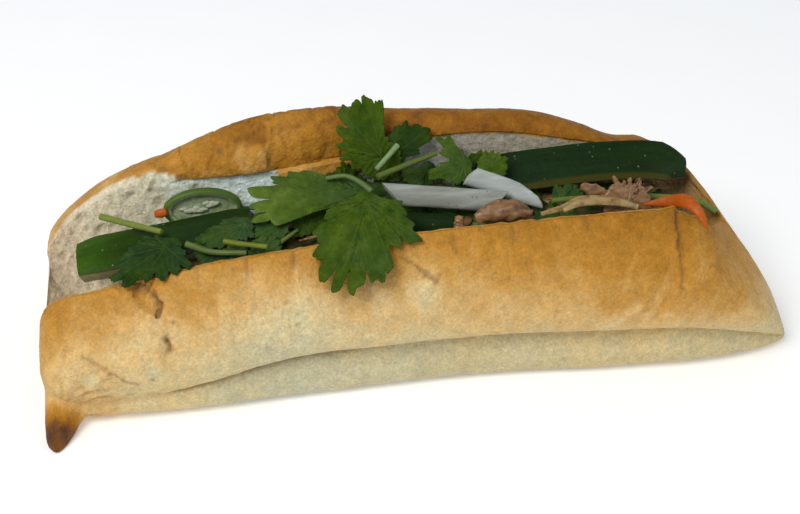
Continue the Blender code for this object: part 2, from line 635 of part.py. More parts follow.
def chilli_ring(finish, collection):
    """A ring of chilli wall, wider than high, that leans back on the bread."""
    bpy.ops.mesh.primitive_torus_add(
        major_segments=24,
        minor_segments=6,
        major_radius=CHILLI_RADIUS[0] * MM,
        minor_radius=0.5 * CHILLI_WALL * MM,
    )
    made = bpy.context.object
    made.name = made.data.name = "chilli_ring"
    squash = Matrix.Diagonal((1.0, CHILLI_RADIUS[1] / CHILLI_RADIUS[0], 1.0, 1.0))
    lean = Matrix.Rotation(math.radians(90 - CHILLI_LEAN), 4, "X")
    made.data.transform(Matrix.Translation(Vector(CHILLI_MIDDLE) * MM) @ lean @ squash)
    made.data.shade_smooth()
    made.data.materials.append(finish)
    for holder in list(made.users_collection):
        holder.objects.unlink(made)
    collection.objects.link(made)


def slot_walls(x):
    """The (y, z) points of the slot's front and back walls at x, each from the floor up."""
    section = loaf_section(x)
    front_from = SECTION_STEPS["foot"] + SECTION_STEPS["dome"] + SECTION_STEPS["rim"]
    floor = front_from + SECTION_STEPS["slot_front"]
    return section[front_from : floor + 1][::-1], section[floor : floor + SECTION_STEPS["slot_back"] + 1]


def filling_bed(finish, collection):
    """The heap in the slot: its sides follow the bread and its top is lumpy."""
    rings = []
    for i, x in enumerate(np.linspace(BED_FROM, BED_TO, BED_STATIONS + 1)):
        front, back = slot_walls(x)
        floor = front[0][1] + 2.5
        top = max(along(x, BED_TOP), floor + 3)
        heights = np.linspace(floor, top - 2, 5)
        front_y = np.interp(heights, front[:, 1], front[:, 0]) + BED_GAP
        back_y = np.interp(heights, back[:, 1], back[:, 0]) - BED_GAP
        across = np.linspace(0, 1, BED_ACROSS + 2)[1:-1]
        lumps = BED_BUMP * np.sin(2.7 * i + 5.1 * across) + 1.6 * np.sin(math.pi * across)
        ring = list(zip(front_y, heights))
        over_y = front_y[-1] + (back_y[-1] - front_y[-1]) * across
        ring += list(zip(over_y, top - 1.6 + lumps))
        ring += list(zip(back_y, heights))[::-1]
        rings.append([(x, y, z) for y, z in ring])
    return loft("filling_bed", rings, finish, collection)


def cucumbers(finish, collection):
    for name, (points, half_width, thickness, up, ends) in CUCUMBERS.items():
        cucumber(name, points, half_width, thickness, up, ends, finish, collection)


def sticks(finishes, collection):
    daikon, carrot, shred = finishes["daikon"], finishes["carrot"], finishes["shred"]
    stick("daikon_front", DAIKON_FRONT, [DAIKON_FRONT_HALF] * 2, DAIKON_SLANT, daikon, collection)
    stick("daikon_back", DAIKON_BACK, [DAIKON_BACK_HALF] * 2, DAIKON_BACK_SLANT, daikon, collection)
    stick("carrot_right", CARROT_RIGHT, CARROT_RIGHT_HALF, 0, carrot, collection)
    stick("carrot_left", CARROT_LEFT, CARROT_LEFT_HALF, 0, carrot, collection)
    stick("shred_high", SHRED_HIGH, [SHRED_HALF] * 2, 0, shred, collection)
    stick("shred_low", SHRED_LOW, [SHRED_HALF] * 2, 0, shred, collection)


def chicken(finish, collection):
    lump("chicken_left", CHICKEN_LEFT, CHICKEN_LEFT_RADII, finish, collection)
    lump("chicken_middle", CHICKEN_MIDDLE, CHICKEN_MIDDLE_RADII, finish, collection)
    lump("chicken_stick", CHICKEN_STICK, CHICKEN_STICK_RADII, finish, collection)
    leaf("chicken_fan", CHICKEN_FAN, CHICKEN_FAN_THICKNESS, finish, collection)


def herbs(finishes, collection):
    for name, (points, start, end, finish) in STEMS.items():
        stem(name, points, start, end, finishes[finish], collection)
    for name, shape in LEAVES.items():
        leaf(name, shape, LEAF_THICKNESS, finishes["leaf"], collection)


def main():
    for leftover in list(bpy.data.objects):
        bpy.data.objects.remove(leftover)
    sandwich = bpy.data.collections.new("banh_mi_sandwich")
    bpy.context.scene.collection.children.link(sandwich)
    finishes = {
        "crust": material("crust", (0.62, 0.36, 0.13), 0.6),
        "cucumber": material("cucumber_skin", (0.02, 0.07, 0.02), 0.35),
        "daikon": material("daikon", (0.62, 0.6, 0.53), 0.35),
        "carrot": material("carrot", (0.75, 0.2, 0.02), 0.4),
        "chilli": material("chilli", (0.12, 0.28, 0.04), 0.3),
        "stem_bright": material("stem_bright", (0.25, 0.35, 0.03), 0.4),
        "stem_green": material("stem_green", (0.12, 0.2, 0.02), 0.4),
        "stem_pale": material("stem_pale", (0.3, 0.34, 0.18), 0.45),
        "leaf": material("coriander_leaf", (0.06, 0.14, 0.02), 0.45),
        "chicken": material("chicken", (0.4, 0.2, 0.1), 0.55),
        "shred": material("shred", (0.55, 0.4, 0.17), 0.5),
        "bed": material("filling_bed", (0.1, 0.08, 0.03), 0.6),
    }
    loft("bread", loaf_rings(), finishes["crust"], sandwich)
    filling_bed(finishes["bed"], sandwich)
    cucumbers(finishes["cucumber"], sandwich)
    sticks(finishes, sandwich)
    chicken(finishes["chicken"], sandwich)
    chilli_ring(finishes["chilli"], sandwich)
    herbs(finishes, sandwich)


if __name__ == "__main__":
    main()
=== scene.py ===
"""The looks of a banh mi sandwich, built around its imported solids.

The loaf lies along X with its opening up and its front crust towards -Y. Tables and shapes are in
millimetres and are turned into metres where the meshes are made.
"""

import itertools
import math
import random

import bpy
import numpy as np
from mathutils import Matrix, Vector


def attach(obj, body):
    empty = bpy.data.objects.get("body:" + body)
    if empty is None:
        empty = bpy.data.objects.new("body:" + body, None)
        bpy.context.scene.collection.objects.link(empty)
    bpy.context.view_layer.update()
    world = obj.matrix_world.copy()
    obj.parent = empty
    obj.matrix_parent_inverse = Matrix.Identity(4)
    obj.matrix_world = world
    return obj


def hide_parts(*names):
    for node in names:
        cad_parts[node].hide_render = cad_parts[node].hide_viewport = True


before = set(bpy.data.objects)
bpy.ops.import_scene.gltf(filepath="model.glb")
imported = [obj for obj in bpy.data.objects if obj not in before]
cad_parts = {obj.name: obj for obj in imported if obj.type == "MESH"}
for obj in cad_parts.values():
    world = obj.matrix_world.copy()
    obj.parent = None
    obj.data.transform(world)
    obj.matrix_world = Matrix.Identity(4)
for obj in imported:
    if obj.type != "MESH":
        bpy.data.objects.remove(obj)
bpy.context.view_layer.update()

MM = 0.001
BODY = "root"

# The loaf's form, as the solid has it.

LEFT_END = -122.6
RIGHT_END = 130.0
LEFT_ROUND_FRONT = 24.0
LEFT_ROUND_BACK = 36.0
RIGHT_ROUND = 44.0
LEFT_BLUNTNESS_FRONT = 4.4
LEFT_BLUNTNESS_BACK = 2.1
RIGHT_BLUNTNESS = 1.52
LEFT_TIP_Z_FRONT = 13.0
LEFT_TIP_Z_BACK = 33.0
LEFT_TIP_DEPTH = 0.55
RIGHT_TIP_Y = -26.0
RIGHT_TIP_Z = 1.2
NOTCH_DEPTH = 9.0
NOTCH_Y = 2.0
NOTCH_Z = 19.0
NOTCH_SPREAD = (11.0, 9.0)
NOTCH_LENGTH = 22.0
BACK_SET_IN = 1.4
FOOT_Y = ((-120, -35.0), (-75, -35.0), (-30, -32.4), (30, -30.8), (60, -33.0), (97, -34.9), (125, -37.0))
CREASE_Z = (
    (-120, 9.0), (-75, 11.5), (-40, 17.5), (0, 17.2), (40, 17.0), (70, 16.8), (97, 16.0), (125, 14.0),
)
CREASE_DEPTH = ((-120, 0.2), (-85, 0.4), (-55, 2.0), (0, 2.6), (60, 3.0), (125, 2.4))
RIM_Y = ((-120, -24.0), (0, -23.0), (60, -24.0), (125, -24.0))
RIM_Z = (
    (-120, 40.0), (-100, 42.8), (-75, 47.5), (-40, 51.8), (0, 54.5), (40, 56.3), (75, 57.0), (92, 57.6),
    (107, 55.0), (125, 56.5),
)
CUT_Y = ((-120, 17.0), (-40, 17.0), (0, 18.0), (60, 19.0), (125, 17.0))
CUT_Z = (
    (-120, 46.0), (-100, 52.5), (-70, 57.0), (-40, 58.5), (-20, 61.0), (10, 66.0), (35, 65.5), (60, 60.5),
    (80, 56.0), (105, 52.0), (125, 48.0),
)
CROWN_Z = (
    (-120, 49.0), (-100, 55.5), (-80, 62.0), (-60, 70.0), (-40, 74.5), (-15, 75.0), (0, 73.5), (20, 71.5),
    (50, 67.8), (65, 62.5), (78, 56.8), (90, 56.0), (102, 57.0), (112, 53.5), (125, 49.0),
)
SLOT_Z = ((-120, 18.0), (-60, 20.0), (60, 20.0), (125, 24.0))
SLOT_Y = 1.0
BACK_Y = 50.0
HEEL_Y = 42.0
SEAM_Y = -4.0
CLOSE_FROM = 97.0
CLOSE_TO = 111.0
STEP_X = 84.8
STEP_RUN = 1.6
STEP_DROP = 2.0
NUB_ROOT = (-118.5, -33.0, 5.0)
NUB_TIP = (-119.3, -48.2, 1.0)
NUB_REACH = 9.8
NUB_FULLNESS = 1.25
LIP = (
    (-120, 0.0), (-78, 0.1), (-60, 1.2), (-46, 0.9), (-38, 0.1), (-12, 0.1), (0, 0.6), (60, 0.6),
    (125, 0.2),
)

# Folds and cracks of the front crust: x and z of both ends of each line, its depth and its half width.
FRONT_GROOVES = (
    (81.6, 44.5, 71.5, 23.7, 0.9, 1.7), (84.0, 44.3, 76.4, 24.7, 0.8, 1.6),
    (86.2, 56.0, 85.2, 36.0, 0.9, 1.5), (66.6, 43.0, 64.4, 34.0, 0.4, 1.6),
    (-90.8, 44.3, -84.0, 39.5, 1.2, 1.5), (-84.0, 39.5, -79.5, 34.5, 0.8, 1.4),
    (-81.7, 31.5, -81.5, 28.5, 1.0, 1.8), (-107.4, 25.7, -87.4, 9.5, 0.8, 2.0),
    (-113.0, 22.0, -105.0, 13.5, 0.6, 1.8),
)
BACK_FLAKES = (
    (-76.0, -44.5, 57.5, 66.5, 0.8), (-37.0, -20.0, 53.0, 64.0, 0.7), (-18.5, -8.0, 53.0, 62.0, 0.6),
)
FLAKE_EDGE = 1.6
# The y from which the ends go over from the front's form to the back's, and over how much.
TURN_FROM = -6.0
TURN_RUN = 14.0
# Half of the gap that is left where the slot closes, and the depth of what is left of it.
SEAM_GAP = 0.7
SEAM_DEPTH = 1.5
# How much closer together the stations are near the left end, the right end and the body's left.
LEFT_EASE = 1.6
RIGHT_EASE = 1.4
BODY_EASE = 1.22
# How far inside the ends the first and last stations are.
LEFT_INSET = 0.15
RIGHT_INSET = 0.4

# How many steps each side of the section has, in the order they run round.
STEPS = {"foot": 12, "dome": 82, "rim": 5, "slot_front": 20, "slot_back": 40, "lip": 5, "back": 62, "base": 8}
# How much closer together the steps in the slot are near its edges.
SLOT_EASE = 1.7
FINE_STEPS = 240
# In how many points a straight line and a curve are walked to space their points evenly.
LINE_STEPS = 20
CURVE_STEPS = 400
# The stretch of the loaf over which the crumb's colour changes, with painted sky light and painted shade in
# it.
CRUMB_FROM = -122.0
CRUMB_TO = 110.0
# Where a flap of the back crust hangs over the cut, and how far down.
FLAP = (-43.0, -9.0)
FLAP_DROP = 6.5
FLAP_THICKNESS = 1.5
FLAP_FADES = (4, 6)
# How far crumb shows past the cut on the right, at the very tip on the left, and on the left.
PAST_RIGHT = 5.0
PAST_TIP = 2.0
PAST_LEFT = 5.0
# How many of the rim's steps are still crust, how far the nub's brown reaches, and how warm the rest is.
RIM_CRUST_STEPS = 2
NUB_BROWN = 17.0
PLAIN_WARMTH = 0.7
LEFT_STATIONS = 50
BODY_STATIONS = 266
RIGHT_STATIONS = 76
# Rows of faces between the outer and the inner side of the left end.
END_ROWS = 12


def smooth(share):
    """An eased step from 0 to 1."""
    share = np.clip(share, 0, 1)
    return share * share * (3 - 2 * share)


def openness(x):
    """1 where the slot is open and 0 where the loaf is closed."""
    return 1 - smooth((x - CLOSE_FROM) / (CLOSE_TO - CLOSE_FROM))


def towards_back(y):
    """0 at the front of the loaf and 1 at its back."""
    return smooth((y - TURN_FROM) / TURN_RUN)


def along(x, knots):
    """The value at x of a smooth curve through the (x, value) pairs."""
    xs, values = (np.array(column, float) for column in zip(*knots))
    slopes = np.gradient(values, xs)
    x = np.clip(x, xs[0], xs[-1])
    i = np.clip(np.searchsorted(xs, x, side="right") - 1, 0, len(xs) - 2)
    run = xs[i + 1] - xs[i]
    t = (x - xs[i]) / run
    return (
        (1 + 2 * t) * (1 - t) ** 2 * values[i]
        + t * (1 - t) ** 2 * run * slopes[i]
        + t * t * (3 - 2 * t) * values[i + 1]
        + t * t * (t - 1) * run * slopes[i + 1]
    )


def through(points, count):
    """count + 1 points, evenly spaced along a smooth curve through the given ones."""
    points = np.array(points, float)
    gaps = np.maximum(np.linalg.norm(np.diff(points, axis=0), axis=1), 1e-6)
    at = np.concatenate([[0], np.cumsum(gaps)])
    if len(points) == 2:
        fine = points[0] + np.linspace(0, 1, LINE_STEPS)[:, None] * (points[1] - points[0])
    else:
        steps = np.linspace(0, at[-1], CURVE_STEPS)
        fine = np.stack([along(steps, list(zip(at, column))) for column in points.T], 1)
    walked = np.concatenate([[0], np.cumsum(np.linalg.norm(np.diff(fine, axis=0), axis=1))])
    steps = np.linspace(0, walked[-1], count + 1)
    return np.stack([np.interp(steps, walked, column) for column in fine.T], 1)


def section_side(name, points, count):
    """The points of one side of the section, closer together towards the edge of the slot."""
    even = np.linspace(0, 1, count + 1)
    places = {"slot_front": even**SLOT_EASE, "slot_back": 1 - (1 - even) ** SLOT_EASE}.get(name, even)
    fine = through(points, FINE_STEPS)
    steps = places * FINE_STEPS
    return np.stack([np.interp(steps, np.arange(FINE_STEPS + 1), column) for column in fine.T], 1)


def rounding(distance, length, bluntness):
    """From 0 at an end of the loaf to 1 where its full section begins."""
    t = np.clip(distance / length, 0, 1)
    return (1 - (1 - t) ** bluntness) ** (1 / bluntness)


def shrink_to_ends(section, x):
    """The section at x, drawn in towards the tips of the loaf near both ends."""
    y, z = section.T
    share = towards_back(y)
    front = rounding(x - LEFT_END, LEFT_ROUND_FRONT, LEFT_BLUNTNESS_FRONT)
    back = rounding(x - LEFT_END, LEFT_ROUND_BACK, LEFT_BLUNTNESS_BACK)
    left = front + (back - front) * share
    y = y * (LEFT_TIP_DEPTH + (1 - LEFT_TIP_DEPTH) * left)
    tip_z = LEFT_TIP_Z_FRONT + (LEFT_TIP_Z_BACK - LEFT_TIP_Z_FRONT) * share
    z = tip_z + (z - tip_z) * left
    right = rounding(RIGHT_END - x, RIGHT_ROUND, RIGHT_BLUNTNESS)
    y = RIGHT_TIP_Y + (y - RIGHT_TIP_Y) * right
    z = RIGHT_TIP_Z + (z - RIGHT_TIP_Z) * right
    return np.stack([y, z], 1)


def loaf_section(x, steps=STEPS):
    """The closed (y, z) outline of the bread at x: front crust, opening, back crust and base."""
    foot = along(x, FOOT_Y)
    crease_z = along(x, CREASE_Z)
    rim_z = along(x, RIM_Z) - STEP_DROP * smooth((x - STEP_X) / STEP_RUN)
    crown_z = along(x, CROWN_Z)
    seam_z = 0.5 * (rim_z + crown_z)
    is_open = openness(x)
    rim_y = SEAM_Y - SEAM_GAP + (along(x, RIM_Y) - SEAM_Y + SEAM_GAP) * is_open
    rim_z = seam_z + (rim_z - seam_z) * is_open
    cut_y = SEAM_Y + SEAM_GAP + (along(x, CUT_Y) - SEAM_Y - SEAM_GAP) * is_open
    cut_z = seam_z + (along(x, CUT_Z) - seam_z) * is_open
    floor_z = seam_z - SEAM_DEPTH
    slot = (SEAM_Y + (SLOT_Y - SEAM_Y) * is_open, floor_z + (along(x, SLOT_Z) - floor_z) * is_open)
    crease = (foot - 3.2 + along(x, CREASE_DEPTH), crease_z)
    bulge_y = foot - 7.0
    rim = (rim_y, rim_z)
    inner_rim = (rim_y + 2.2 * is_open + 0.2, rim_z - 0.6 * is_open - 0.1)
    rise = crown_z - cut_z
    lip = along(x, LIP) * is_open
    lip_end = (cut_y - lip, cut_z + 0.5 * lip + 0.2)
    outline = {
        "foot": [(foot + 3, 0.0), (foot - 0.5, 1.4), (foot - 3.4, 0.5 * crease_z), crease],
        "dome": [
            crease, (foot - 5.6, crease_z + 4.5), (bulge_y, 0.58 * rim_z + 1),
            (0.55 * rim_y + 0.45 * bulge_y, 0.85 * rim_z + 1), rim,
        ],
        "rim": [rim, inner_rim],
        "slot_front": [
            inner_rim, (0.62 * rim_y - 1, 0.72 * rim_z + 0.28 * slot[1]),
            (0.3 * rim_y, 0.35 * rim_z + 0.65 * slot[1]), slot,
        ],
        "slot_back": [
            slot, (0.52 * cut_y + 0.48 * slot[0], 0.3 * cut_z + 0.7 * slot[1]),
            (0.86 * cut_y + 0.14 * slot[0], 0.7 * cut_z + 0.3 * slot[1]), (cut_y, cut_z),
        ],
        "lip": [(cut_y, cut_z), lip_end],
        "back": [
            lip_end, (cut_y + 0.08 * rise - 0.4 * lip, cut_z + 0.5 * rise),
            (cut_y + 0.28 * rise + 2, crown_z - 0.1 * rise), (0.62 * cut_y + 0.38 * HEEL_Y, crown_z - 1),
            (HEEL_Y - 1, 0.8 * crown_z), (BACK_Y - 1, 0.56 * crown_z), (BACK_Y - 1.5, 0.25 * crown_z),
            (HEEL_Y + 3.5, 4.0), (HEEL_Y, 0.0),
        ],
        "base": [(HEEL_Y, 0.0), (foot + 3, 0.0)],
    }
    sides = [section_side(name, points, steps[name])[:-1] for name, points in outline.items()]
    return shrink_to_ends(np.concatenate(sides), x)


def line_share(x, z, line):
    """How far points are from a line in the (x, z) plane, in millimetres."""
    x0, z0, x1, z1 = line[:4]
    run = np.array([x1 - x0, z1 - z0])
    share = np.clip(((x - x0) * run[0] + (z - z0) * run[1]) / (run @ run), 0, 1)
    return np.hypot(x - x0 - share * run[0], z - z0 - share * run[1])


def line_mark(x, z, line, half):
    """1 on a line in the (x, z) plane, fading out to both sides over this half width."""
    return np.exp(-((line_share(x, z, line) / half) ** 2))


def inside_box(x, z, x0, x1, z0, z1):
    """How far points are inside a box in the (x, z) plane, below 0 outside it."""
    return np.minimum(np.minimum(x - x0, x1 - x), np.minimum(z - z0, z1 - z))


def coarse_relief(points):
    """How far the crust stands out (or in) in its main folds and flakes, in millimetres."""
    x, y, z = np.moveaxis(points, -1, 0)
    relief = np.zeros(x.shape)
    front = smooth((-22 - y) / 3)
    for groove in FRONT_GROOVES:
        depth, width = groove[4:]
        relief -= front * depth * line_mark(x, z, groove, width)
    back = smooth((y - 12) / 3) * smooth((30 - y) / 4)
    for x0, x1, z0, z1, height in BACK_FLAKES:
        inside = inside_box(x, z, x0, x1, z0, z1)
        relief += back * height * smooth(inside / FLAKE_EDGE + 0.5)
    return relief


def raise_relief(rings):
    """The rings, moved out by the coarse relief in the plane of each section."""
    before, after = np.roll(rings, 1, axis=1), np.roll(rings, -1, axis=1)
    way = (after - before)[..., 1:]
    length = np.maximum(np.linalg.norm(way, axis=-1, keepdims=True), 1e-6)
    outward = np.stack([-way[..., 1], way[..., 0]], -1) / length
    moved = rings.copy()
    moved[..., 1:] += outward * coarse_relief(rings)[..., None]
    return moved


def cut_notch(points):
    """The points of the left end, drawn in at the mouth of the slot and at the back."""
    x, y, z = np.moveaxis(points, -1, 0)
    near = np.exp(-(((y - NOTCH_Y) / NOTCH_SPREAD[0]) ** 2) - ((z - NOTCH_Z) / NOTCH_SPREAD[1]) ** 2)
    inward = NOTCH_DEPTH * near + BACK_SET_IN * towards_back(y)
    moved = x + inward * (1 - smooth((x - LEFT_END) / NOTCH_LENGTH))
    return np.stack([moved, y, z], -1)


def pull_nub(points):
    """The points round the nub's root, drawn out into the nub."""
    root, tip = np.array(NUB_ROOT), np.array(NUB_TIP)
    share = smooth(NUB_FULLNESS * (1 - np.linalg.norm(points - root, axis=-1) / NUB_REACH))
    return points + share[..., None] * (tip - root)


def eased(count, ease):
    """count + 1 numbers from 0 to 1 that are closer together near 0."""
    return np.linspace(0, 1, count + 1) ** ease


def loaf_stations():
    """The x of each section of the loaf."""
    body_from, body_to = LEFT_END + LEFT_ROUND_FRONT, RIGHT_END - RIGHT_ROUND
    left_x = LEFT_END + LEFT_INSET + (LEFT_ROUND_FRONT - LEFT_INSET) * eased(LEFT_STATIONS, LEFT_EASE)
    right_x = RIGHT_END - RIGHT_INSET - (RIGHT_ROUND - RIGHT_INSET) * eased(RIGHT_STATIONS, RIGHT_EASE)
    body_x = body_from + (body_to - body_from) * eased(BODY_STATIONS, BODY_EASE)[1:-1]
    return np.concatenate([left_x, body_x, right_x[::-1]])


def hashed(cells, seed):
    """A number from 0 to 1 for each cell of a grid of whole numbers."""
    n = cells[..., 0] * 73856093 ^ cells[..., 1] * 19349663 ^ cells[..., 2] * 83492791 ^ (seed * 668265263)
    n = (n ^ (n >> 13)) * 1274126177
    n = n ^ (n >> 16)
    return (n & 0xFFFFFF) / float(0x1000000)


def value_noise(points, size, seed):
    """Smooth noise from -1 to 1 with blobs of this size."""
    scaled = points / size
    base = np.floor(scaled).astype(np.int64)
    share = scaled - base
    share = share * share * (3 - 2 * share)
    total = 0
    for corner in itertools.product((0, 1), repeat=3):
        weight = np.prod(np.where(corner, share, 1 - share), axis=-1)
        total = total + weight * hashed(base + np.array(corner), seed)
    return 2 * total - 1


def noise(points, size, seed, octaves=3, stretch=None):
    """Noise of several sizes, each half of the one before, with its blobs longer where stretch is below 1."""
    if stretch:
        points = points * np.array(stretch)
    total, most = 0, 0
    for i in range(octaves):
        total = total + value_noise(points, size / 2**i, seed + i) / 2**i
        most += 1 / 2**i
    return total / most


def cell_noise(points, size, seed):
    """Distances to the nearest and second nearest of scattered points, and the nearest one's own number."""
    scaled = points / size
    base = np.floor(scaled).astype(np.int64)
    first = np.full(points.shape[:-1], 9.0)
    second = first.copy()
    own = np.zeros(points.shape[:-1])
    for offset in itertools.product((-1, 0, 1), repeat=3):
        cell = base + np.array(offset)
        place = cell + np.stack([hashed(cell, seed + k) for k in range(3)], -1)
        away = np.linalg.norm(scaled - place, axis=-1)
        nearer = away < first
        second = np.where(nearer, first, np.minimum(second, away))
        own = np.where(nearer, hashed(cell, seed + 3), own)
        first = np.where(nearer, away, first)
    return first, second, own


def make_object(name, points, faces, finish, values=None, sharp=50):
    """An object from points in millimetres, faces and one number for each point under each name."""
    mesh = bpy.data.meshes.new(name)
    mesh.from_pydata((np.asarray(points, float) * MM).tolist(), [], faces)
    mesh.update()
    for key, value in (values or {}).items():
        layer = mesh.attributes.new(key, "FLOAT", "POINT")
        layer.data.foreach_set("value", np.asarray(value, np.float32).ravel())
    mesh.shade_smooth()
    mesh.set_sharp_from_angle(angle=math.radians(sharp))
    mesh.materials.append(finish)
    made = bpy.data.objects.new(name, mesh)
    bpy.context.scene.collection.objects.link(made)
    return made


def place(made, slot, *nodes):
    """Rides a piece on the body and hides the imported parts of the nodes it stands for. The slot is not
    used.
    """
    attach(made, BODY)
    if nodes:
        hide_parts(*nodes)
    return made


def ring_faces(count, around, first=0):
    """Quads between rings of points that follow each other."""
    faces = []
    for i in range(count - 1):
        a = first + i * around
        for j in range(around):
            k = (j + 1) % around
            faces.append((a + j, a + k, a + around + k, a + around + j))
    return faces


def tube_faces(count, around):
    """Ring quads with an n-gon on each end."""
    faces = ring_faces(count, around)
    faces.append(tuple(range(around))[::-1])
    faces.append(tuple(range((count - 1) * around, count * around)))
    return faces


def shifted(faces, first):
    """The faces, with their points counted from this number."""
    return [tuple(first + n for n in face) for face in faces]


def rounded_caps(rings, shares, bulge):
    """Adds smaller rings at both ends, so that each end is a face with points of its own."""
    rings = np.asarray(rings, float)
    starts, ends = [], []
    first, last = rings[0], rings[-1]
    for made, ring, way in ((starts, first, first - rings[1]), (ends, last, last - rings[-2])):
        middle = ring.mean(axis=0)
        out = way.mean(axis=0)
        out /= max(np.linalg.norm(out), 1e-9)
        for share in shares:
            made.append(middle + (ring - middle) * share + out * bulge * (1 - share**2))
    return np.concatenate([np.array(starts), rings, np.array(ends)[::-1]])


def grid_normals(rings):
    """The outward normal at each point of a closed grid of rings."""
    ahead = np.gradient(rings, axis=0)
    round_ = np.roll(rings, -1, axis=1) - np.roll(rings, 1, axis=1)
    normal = np.cross(round_, ahead)
    normal /= np.maximum(np.linalg.norm(normal, axis=-1, keepdims=True), 1e-9)
    middle = rings.mean(axis=1, keepdims=True)
    if ((rings - middle) * normal).sum() < 0:
        normal = -normal
    return normal


def fix_normals(made):
    """Turns the faces of a closed mesh out."""
    mesh = made.data
    mesh.calc_loop_triangles()
    points = np.empty(len(mesh.vertices) * 3, np.float32)
    mesh.vertices.foreach_get("co", points)
    corners = np.empty(len(mesh.loop_triangles) * 3, np.int32)
    mesh.loop_triangles.foreach_get("vertices", corners)
    corners = points.reshape(-1, 3)[corners.reshape(-1, 3)].astype(float)
    volume = np.einsum("ij,ij->i", corners[:, 0], np.cross(corners[:, 1], corners[:, 2])).sum()
    if volume < 0:
        mesh.flip_normals()
    return made


def bridge(a, b):
    """Triangles between two rows of point numbers that need not be equally long."""
    faces, i, j = [], 0, 0
    while i < len(a) - 1 or j < len(b) - 1:
        is_behind = (i + 1) / (len(a) - 1) <= (j + 1) / (len(b) - 1)
        if j == len(b) - 1 or (i < len(a) - 1 and is_behind):
            if len({a[i], a[i + 1], b[j]}) == 3:
                faces.append((a[i], a[i + 1], b[j]))
            i += 1
        else:
            if len({a[i], b[j + 1], b[j]}) == 3:
                faces.append((a[i], b[j + 1], b[j]))
            j += 1
    return faces


def crumb_relief(points, open_left):
    """Pores and a soft torn surface, in millimetres, and how deep in a pore each point is from 0 to 1, which
    darkens the crumb there as painted shade.
    """
    big, _, own = cell_noise(points + value_noise(points, 3.0, 21)[..., None], 5.6, 31)
    small, _, own_small = cell_noise(points, 2.2, 41)
    big_pore = smooth((0.24 + 0.2 * own - big) / 0.2) * (own > 0.45) * open_left
    small_pore = smooth((0.36 - small) / 0.3) * (own_small > 0.6)
    pore = np.maximum(0.8 * big_pore, 0.3 * small_pore)
    soft = 0.3 * noise(points, 3.0, 51, 3) + 0.3 * noise(points, 1.4, 61, 2)
    relief = -0.7 * big_pore - 0.2 * small_pore + soft
    return relief, pore


def crust_fine(points, front, back):
    """Fine relief of the crust, in millimetres, and the cracks between the plates of the back crust."""
    x, _, z = np.moveaxis(points, -1, 0)
    folds = noise(points, 6.5, 5, 3, (1.0, 0.45, 0.35))
    relief = 0.42 * noise(points, 26.0, 3, 2) + 0.16 * folds + 0.13 * noise(points, 1.5, 7, 3)
    # The left part of the front is more wrinkled than the right.
    wrinkled = front * (1 - smooth((x + 70) / 50))
    relief += wrinkled * 0.36 * noise(points, 4.2, 11, 3, (1.0, 0.3, 0.42))
    # Folds spread out from the root of the nub.
    dx, dz = x - NUB_ROOT[0], z - NUB_ROOT[2]
    far = np.hypot(dx, dz)
    turn = np.arctan2(dz, dx) + 0.12 * noise(points, 6.0, 15, 2)
    fan = front * smooth((far - 5) / 5) * smooth((38 - far) / 16) * smooth((1.15 - np.abs(turn - 0.55)) / 0.4)
    relief += 0.34 * fan * np.sin(23 * turn + 2.5 * noise(points, 8.0, 17, 2))
    # The back crust is cracked into thin plates.
    warped = points + 2.6 * np.stack([noise(points, 7.0, 12 + k, 2) for k in range(3)], -1)
    first, second, own = cell_noise(warped * np.array([0.7, 1.0, 1.0]), 15.0, 71)
    crack = 1 - smooth((second - first) / 0.05)
    plated = back * (1 - smooth((x + 5) / 25)) * smooth((x + 112) / 20)
    relief += plated * (0.4 * (own - 0.5) - 0.3 * crack)
    return relief, crack * plated


# Cracks and torn lines of the front crust: x and z of both ends, depth and half width. They are painted
# darker, as painted shade in these hollows.
CRACKS = (
    (-90.5, 44.8, -87.0, 43.6, 1.2, 0.8), (-85.3, 42.7, -82.8, 40.8, 1.5, 0.75),
    (-82.8, 40.8, -83.5, 38.0, 1.3, 0.6), (-81.4, 33.4, -80.6, 30.1, 1.2, 0.8),
    (-107.3, 29.5, -101.1, 25.2, 0.45, 0.7), (-101.1, 25.2, -92.1, 17.7, 0.5, 0.7),
    (-112.0, 14.0, -101.0, 17.5, 0.35, 0.6), (-110.0, 11.0, -94.0, 12.5, 0.35, 0.6),
    (-54.5, 51.0, -54.9, 46.8, 0.5, 0.6), (-30.5, 52.5, -30.9, 49.6, 0.45, 0.6),
    (12.0, 54.0, 12.5, 50.0, 0.5, 0.6), (31.0, 55.5, 30.6, 52.0, 0.45, 0.6),
    (55.0, 57.0, 55.6, 53.8, 0.4, 0.6), (-6.0, 49.6, -0.2, 46.2, 0.6, 0.5),
    (-0.2, 46.2, 5.0, 42.6, 0.6, 0.5), (5.0, 42.6, 6.8, 44.6, 0.25, 0.4),
    (85.4, 56.5, 84.8, 47.5, 1.0, 0.55), (84.8, 47.5, 85.2, 36.6, 0.5, 0.5),
    (-39.5, 52.0, -39.9, 48.8, 0.6, 0.7),
)
# Torn edges of the flakes on the back crust, in the same way. They are painted darker, as painted shade under
# the edges.
BACK_TEARS = (
    (-61.9, 66.8, -57.0, 65.0, 0.9, 0.8), (-57.0, 65.0, -53.6, 67.8, 0.9, 0.8),
    (-53.6, 67.8, -45.5, 67.6, 1.0, 0.8), (-45.5, 67.6, -43.8, 60.5, 1.0, 0.8),
    (-27.6, 60.5, -24.5, 65.5, 1.0, 0.8), (-24.5, 65.5, -17.0, 66.5, 0.9, 0.8),
    (-17.0, 66.5, -16.0, 61.0, 1.0, 0.8), (-82.0, 57.5, -78.0, 61.0, 0.7, 0.8),
    (-43.8, 60.5, -42.0, 72.0, 0.7, 0.8), (-42.0, 72.0, -28.0, 74.0, 0.6, 0.8),
    (-28.0, 74.0, -24.0, 66.0, 0.6, 0.8),
)
# A chip of crust that has come off at the rim: x, z, how much longer than high it is, and its radius. It is
# painted darker, as painted shade in the hollow.
CHIP = (-88.5, 44.0, 1.6, 2.4)
